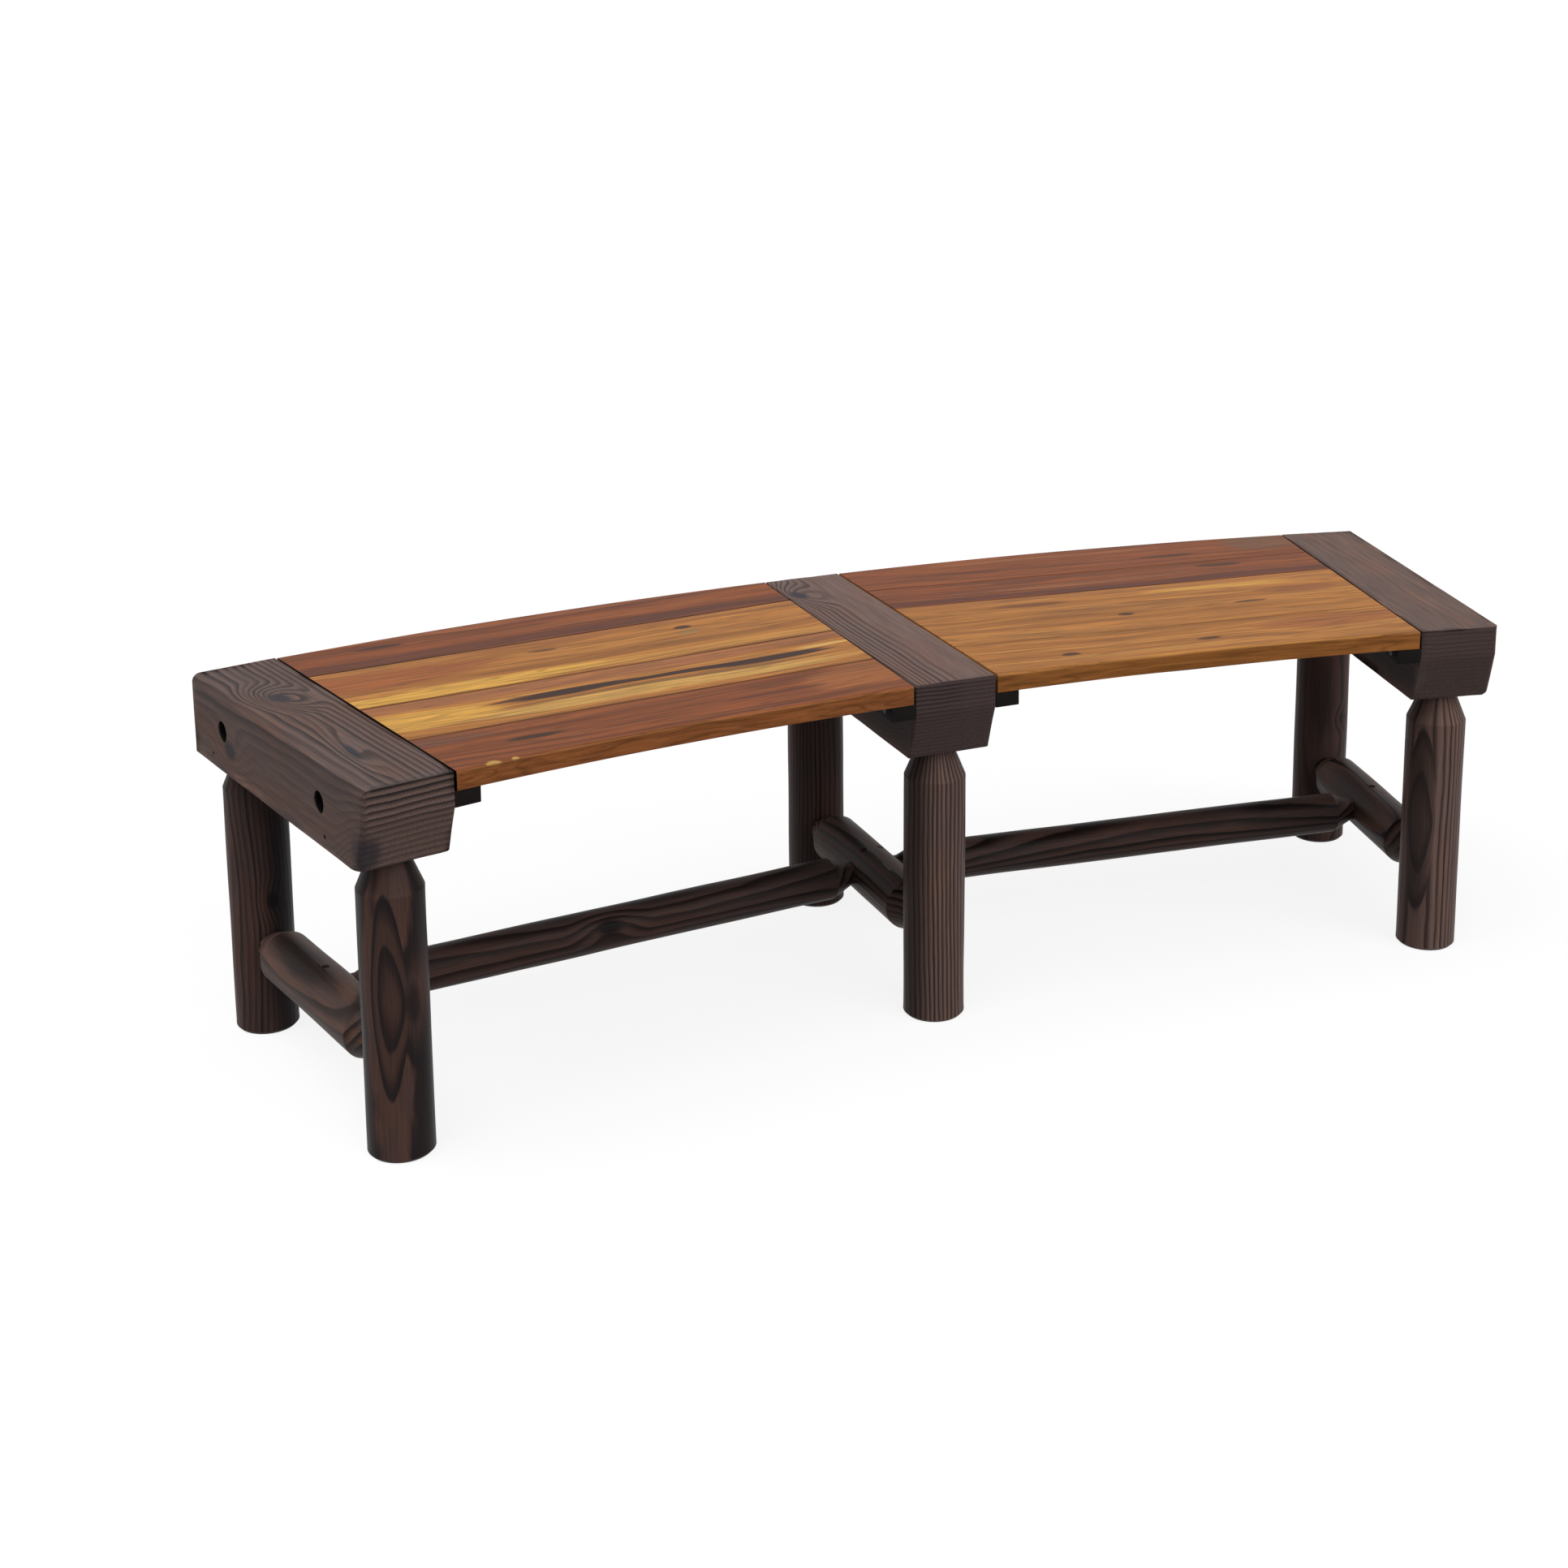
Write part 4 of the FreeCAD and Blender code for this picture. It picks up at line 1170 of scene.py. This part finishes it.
class BENCH_OT_planks(bpy.types.Operator):
    """Makes the eight oiled seat planks"""

    bl_idname = "bench.planks"
    bl_label = "Seat planks"

    def execute(self, context):
        finish = context.scene.bench_finish
        for number, (node, (colours, streaks)) in enumerate(PLANK_FIGURES.items()):
            grain_seed, hollow_seed = seeds_of("plank", number)
            panel, count = node.split("_plank_")
            turn = panel_turn(panel)
            nearest, farthest = reach_behind(node, turn)
            seams = [nearest] * (count != FIRST_PLANK) + [farthest] * (count != LAST_PLANK)
            material = oiled_plank(
                "oiled_board_" + node, out_from_centre(turn), turn, colours, streaks,
                seams, PANEL_SEAMS_AND_SHADOWS[panel], grain_seed)
            finish_piece(
                "plank", node, node + "_board", turn, 0.0, finish.plank_unevenness,
                hollow_seed, material)
        return {"FINISHED"}


class BENCH_OT_battens(bpy.types.Operator):
    """Makes the ledgers along the beams and the stringers under the planks"""

    bl_idname = "bench.battens"
    bl_label = "Ledgers and stringers"

    def execute(self, context):
        finish = context.scene.bench_finish
        battens = [
            (node, beam_turn(side), "Y")
            for side, nodes in LEDGERS.items() for node in nodes]
        battens += [
            (panel + "_" + end + "_stringer", panel_turn(panel), "X")
            for panel in PANEL_NAMES for end in ("front", "rear")]
        for number, (node, turn, axis) in enumerate(battens):
            grain_seed, hollow_seed = seeds_of("batten", number)
            material = sawn_batten(
                "sawn_batten_" + node, middle_of(node), turn, axis, BATTEN_COLOURS, grain_seed)
            finish_piece(
                "batten", node, node + "_batten", turn, finish.batten_edge,
                finish.batten_unevenness, hollow_seed, material)
        return {"FINISHED"}


class BENCH_OT_fasteners(bpy.types.Operator):
    """Finishes the bolts, washers, nuts and screws"""

    bl_idname = "bench.fasteners"
    bl_label = "Fasteners"

    def execute(self, context):
        material = black_oxide("black_oxide_steel")
        for node in STEEL_NODES:
            for slot in frame["nodes"][node].material_slots:
                slot.material = material
        return {"FINISHED"}


class BENCH_OT_stage(bpy.types.Operator):
    """Sets up the paper floor, the soft light and the camera"""

    bl_idname = "bench.stage"
    bl_label = "Stage"

    def execute(self, context):
        scene = context.scene
        stage = scene.bench_stage
        lay_floor(scene, stage.floor_size, list(stage.floor_colour))
        light_world(scene, stage.fill)
        hang_lamp(scene, "key_light", KEY_DIRECTION, stage.key_strength)
        hang_lamp(scene, "front_light", FRONT_DIRECTION, stage.front_strength)
        aim_camera(scene, stage.lens)
        scene.view_settings.view_transform = "Standard"
        return {"FINISHED"}


class BENCH_PT_panel(bpy.types.Panel):
    """Lists the bench's settings and pieces"""

    bl_idname = "BENCH_PT_panel"
    bl_label = "Curved plank bench"
    bl_space_type = "VIEW_3D"
    bl_region_type = "UI"
    bl_category = "Bench"

    def draw(self, context):
        layout = self.layout
        for group in (context.scene.bench_finish, context.scene.bench_stage):
            for setting in group.__annotations__:
                layout.prop(group, setting)
        for operator in OPERATORS:
            layout.operator(operator.bl_idname)


OPERATORS = (
    BENCH_OT_beams, BENCH_OT_legs, BENCH_OT_rails, BENCH_OT_planks,
    BENCH_OT_battens, BENCH_OT_fasteners, BENCH_OT_stage,
)
CLASSES = (BenchFinish, BenchStage, *OPERATORS, BENCH_PT_panel)


def register():
    for part in CLASSES:
        bpy.utils.register_class(part)
    bpy.types.Scene.bench_finish = bpy.props.PointerProperty(type=BenchFinish)
    bpy.types.Scene.bench_stage = bpy.props.PointerProperty(type=BenchStage)


def unregister():
    del bpy.types.Scene.bench_stage
    del bpy.types.Scene.bench_finish
    for part in reversed(CLASSES):
        bpy.utils.unregister_class(part)


def main():
    register()
    bpy.ops.bench.beams()
    bpy.ops.bench.legs()
    bpy.ops.bench.rails()
    bpy.ops.bench.planks()
    bpy.ops.bench.battens()
    bpy.ops.bench.fasteners()
    bpy.ops.bench.stage()
    bpy.context.view_layer.update()


if __name__ == "__main__":
    main()
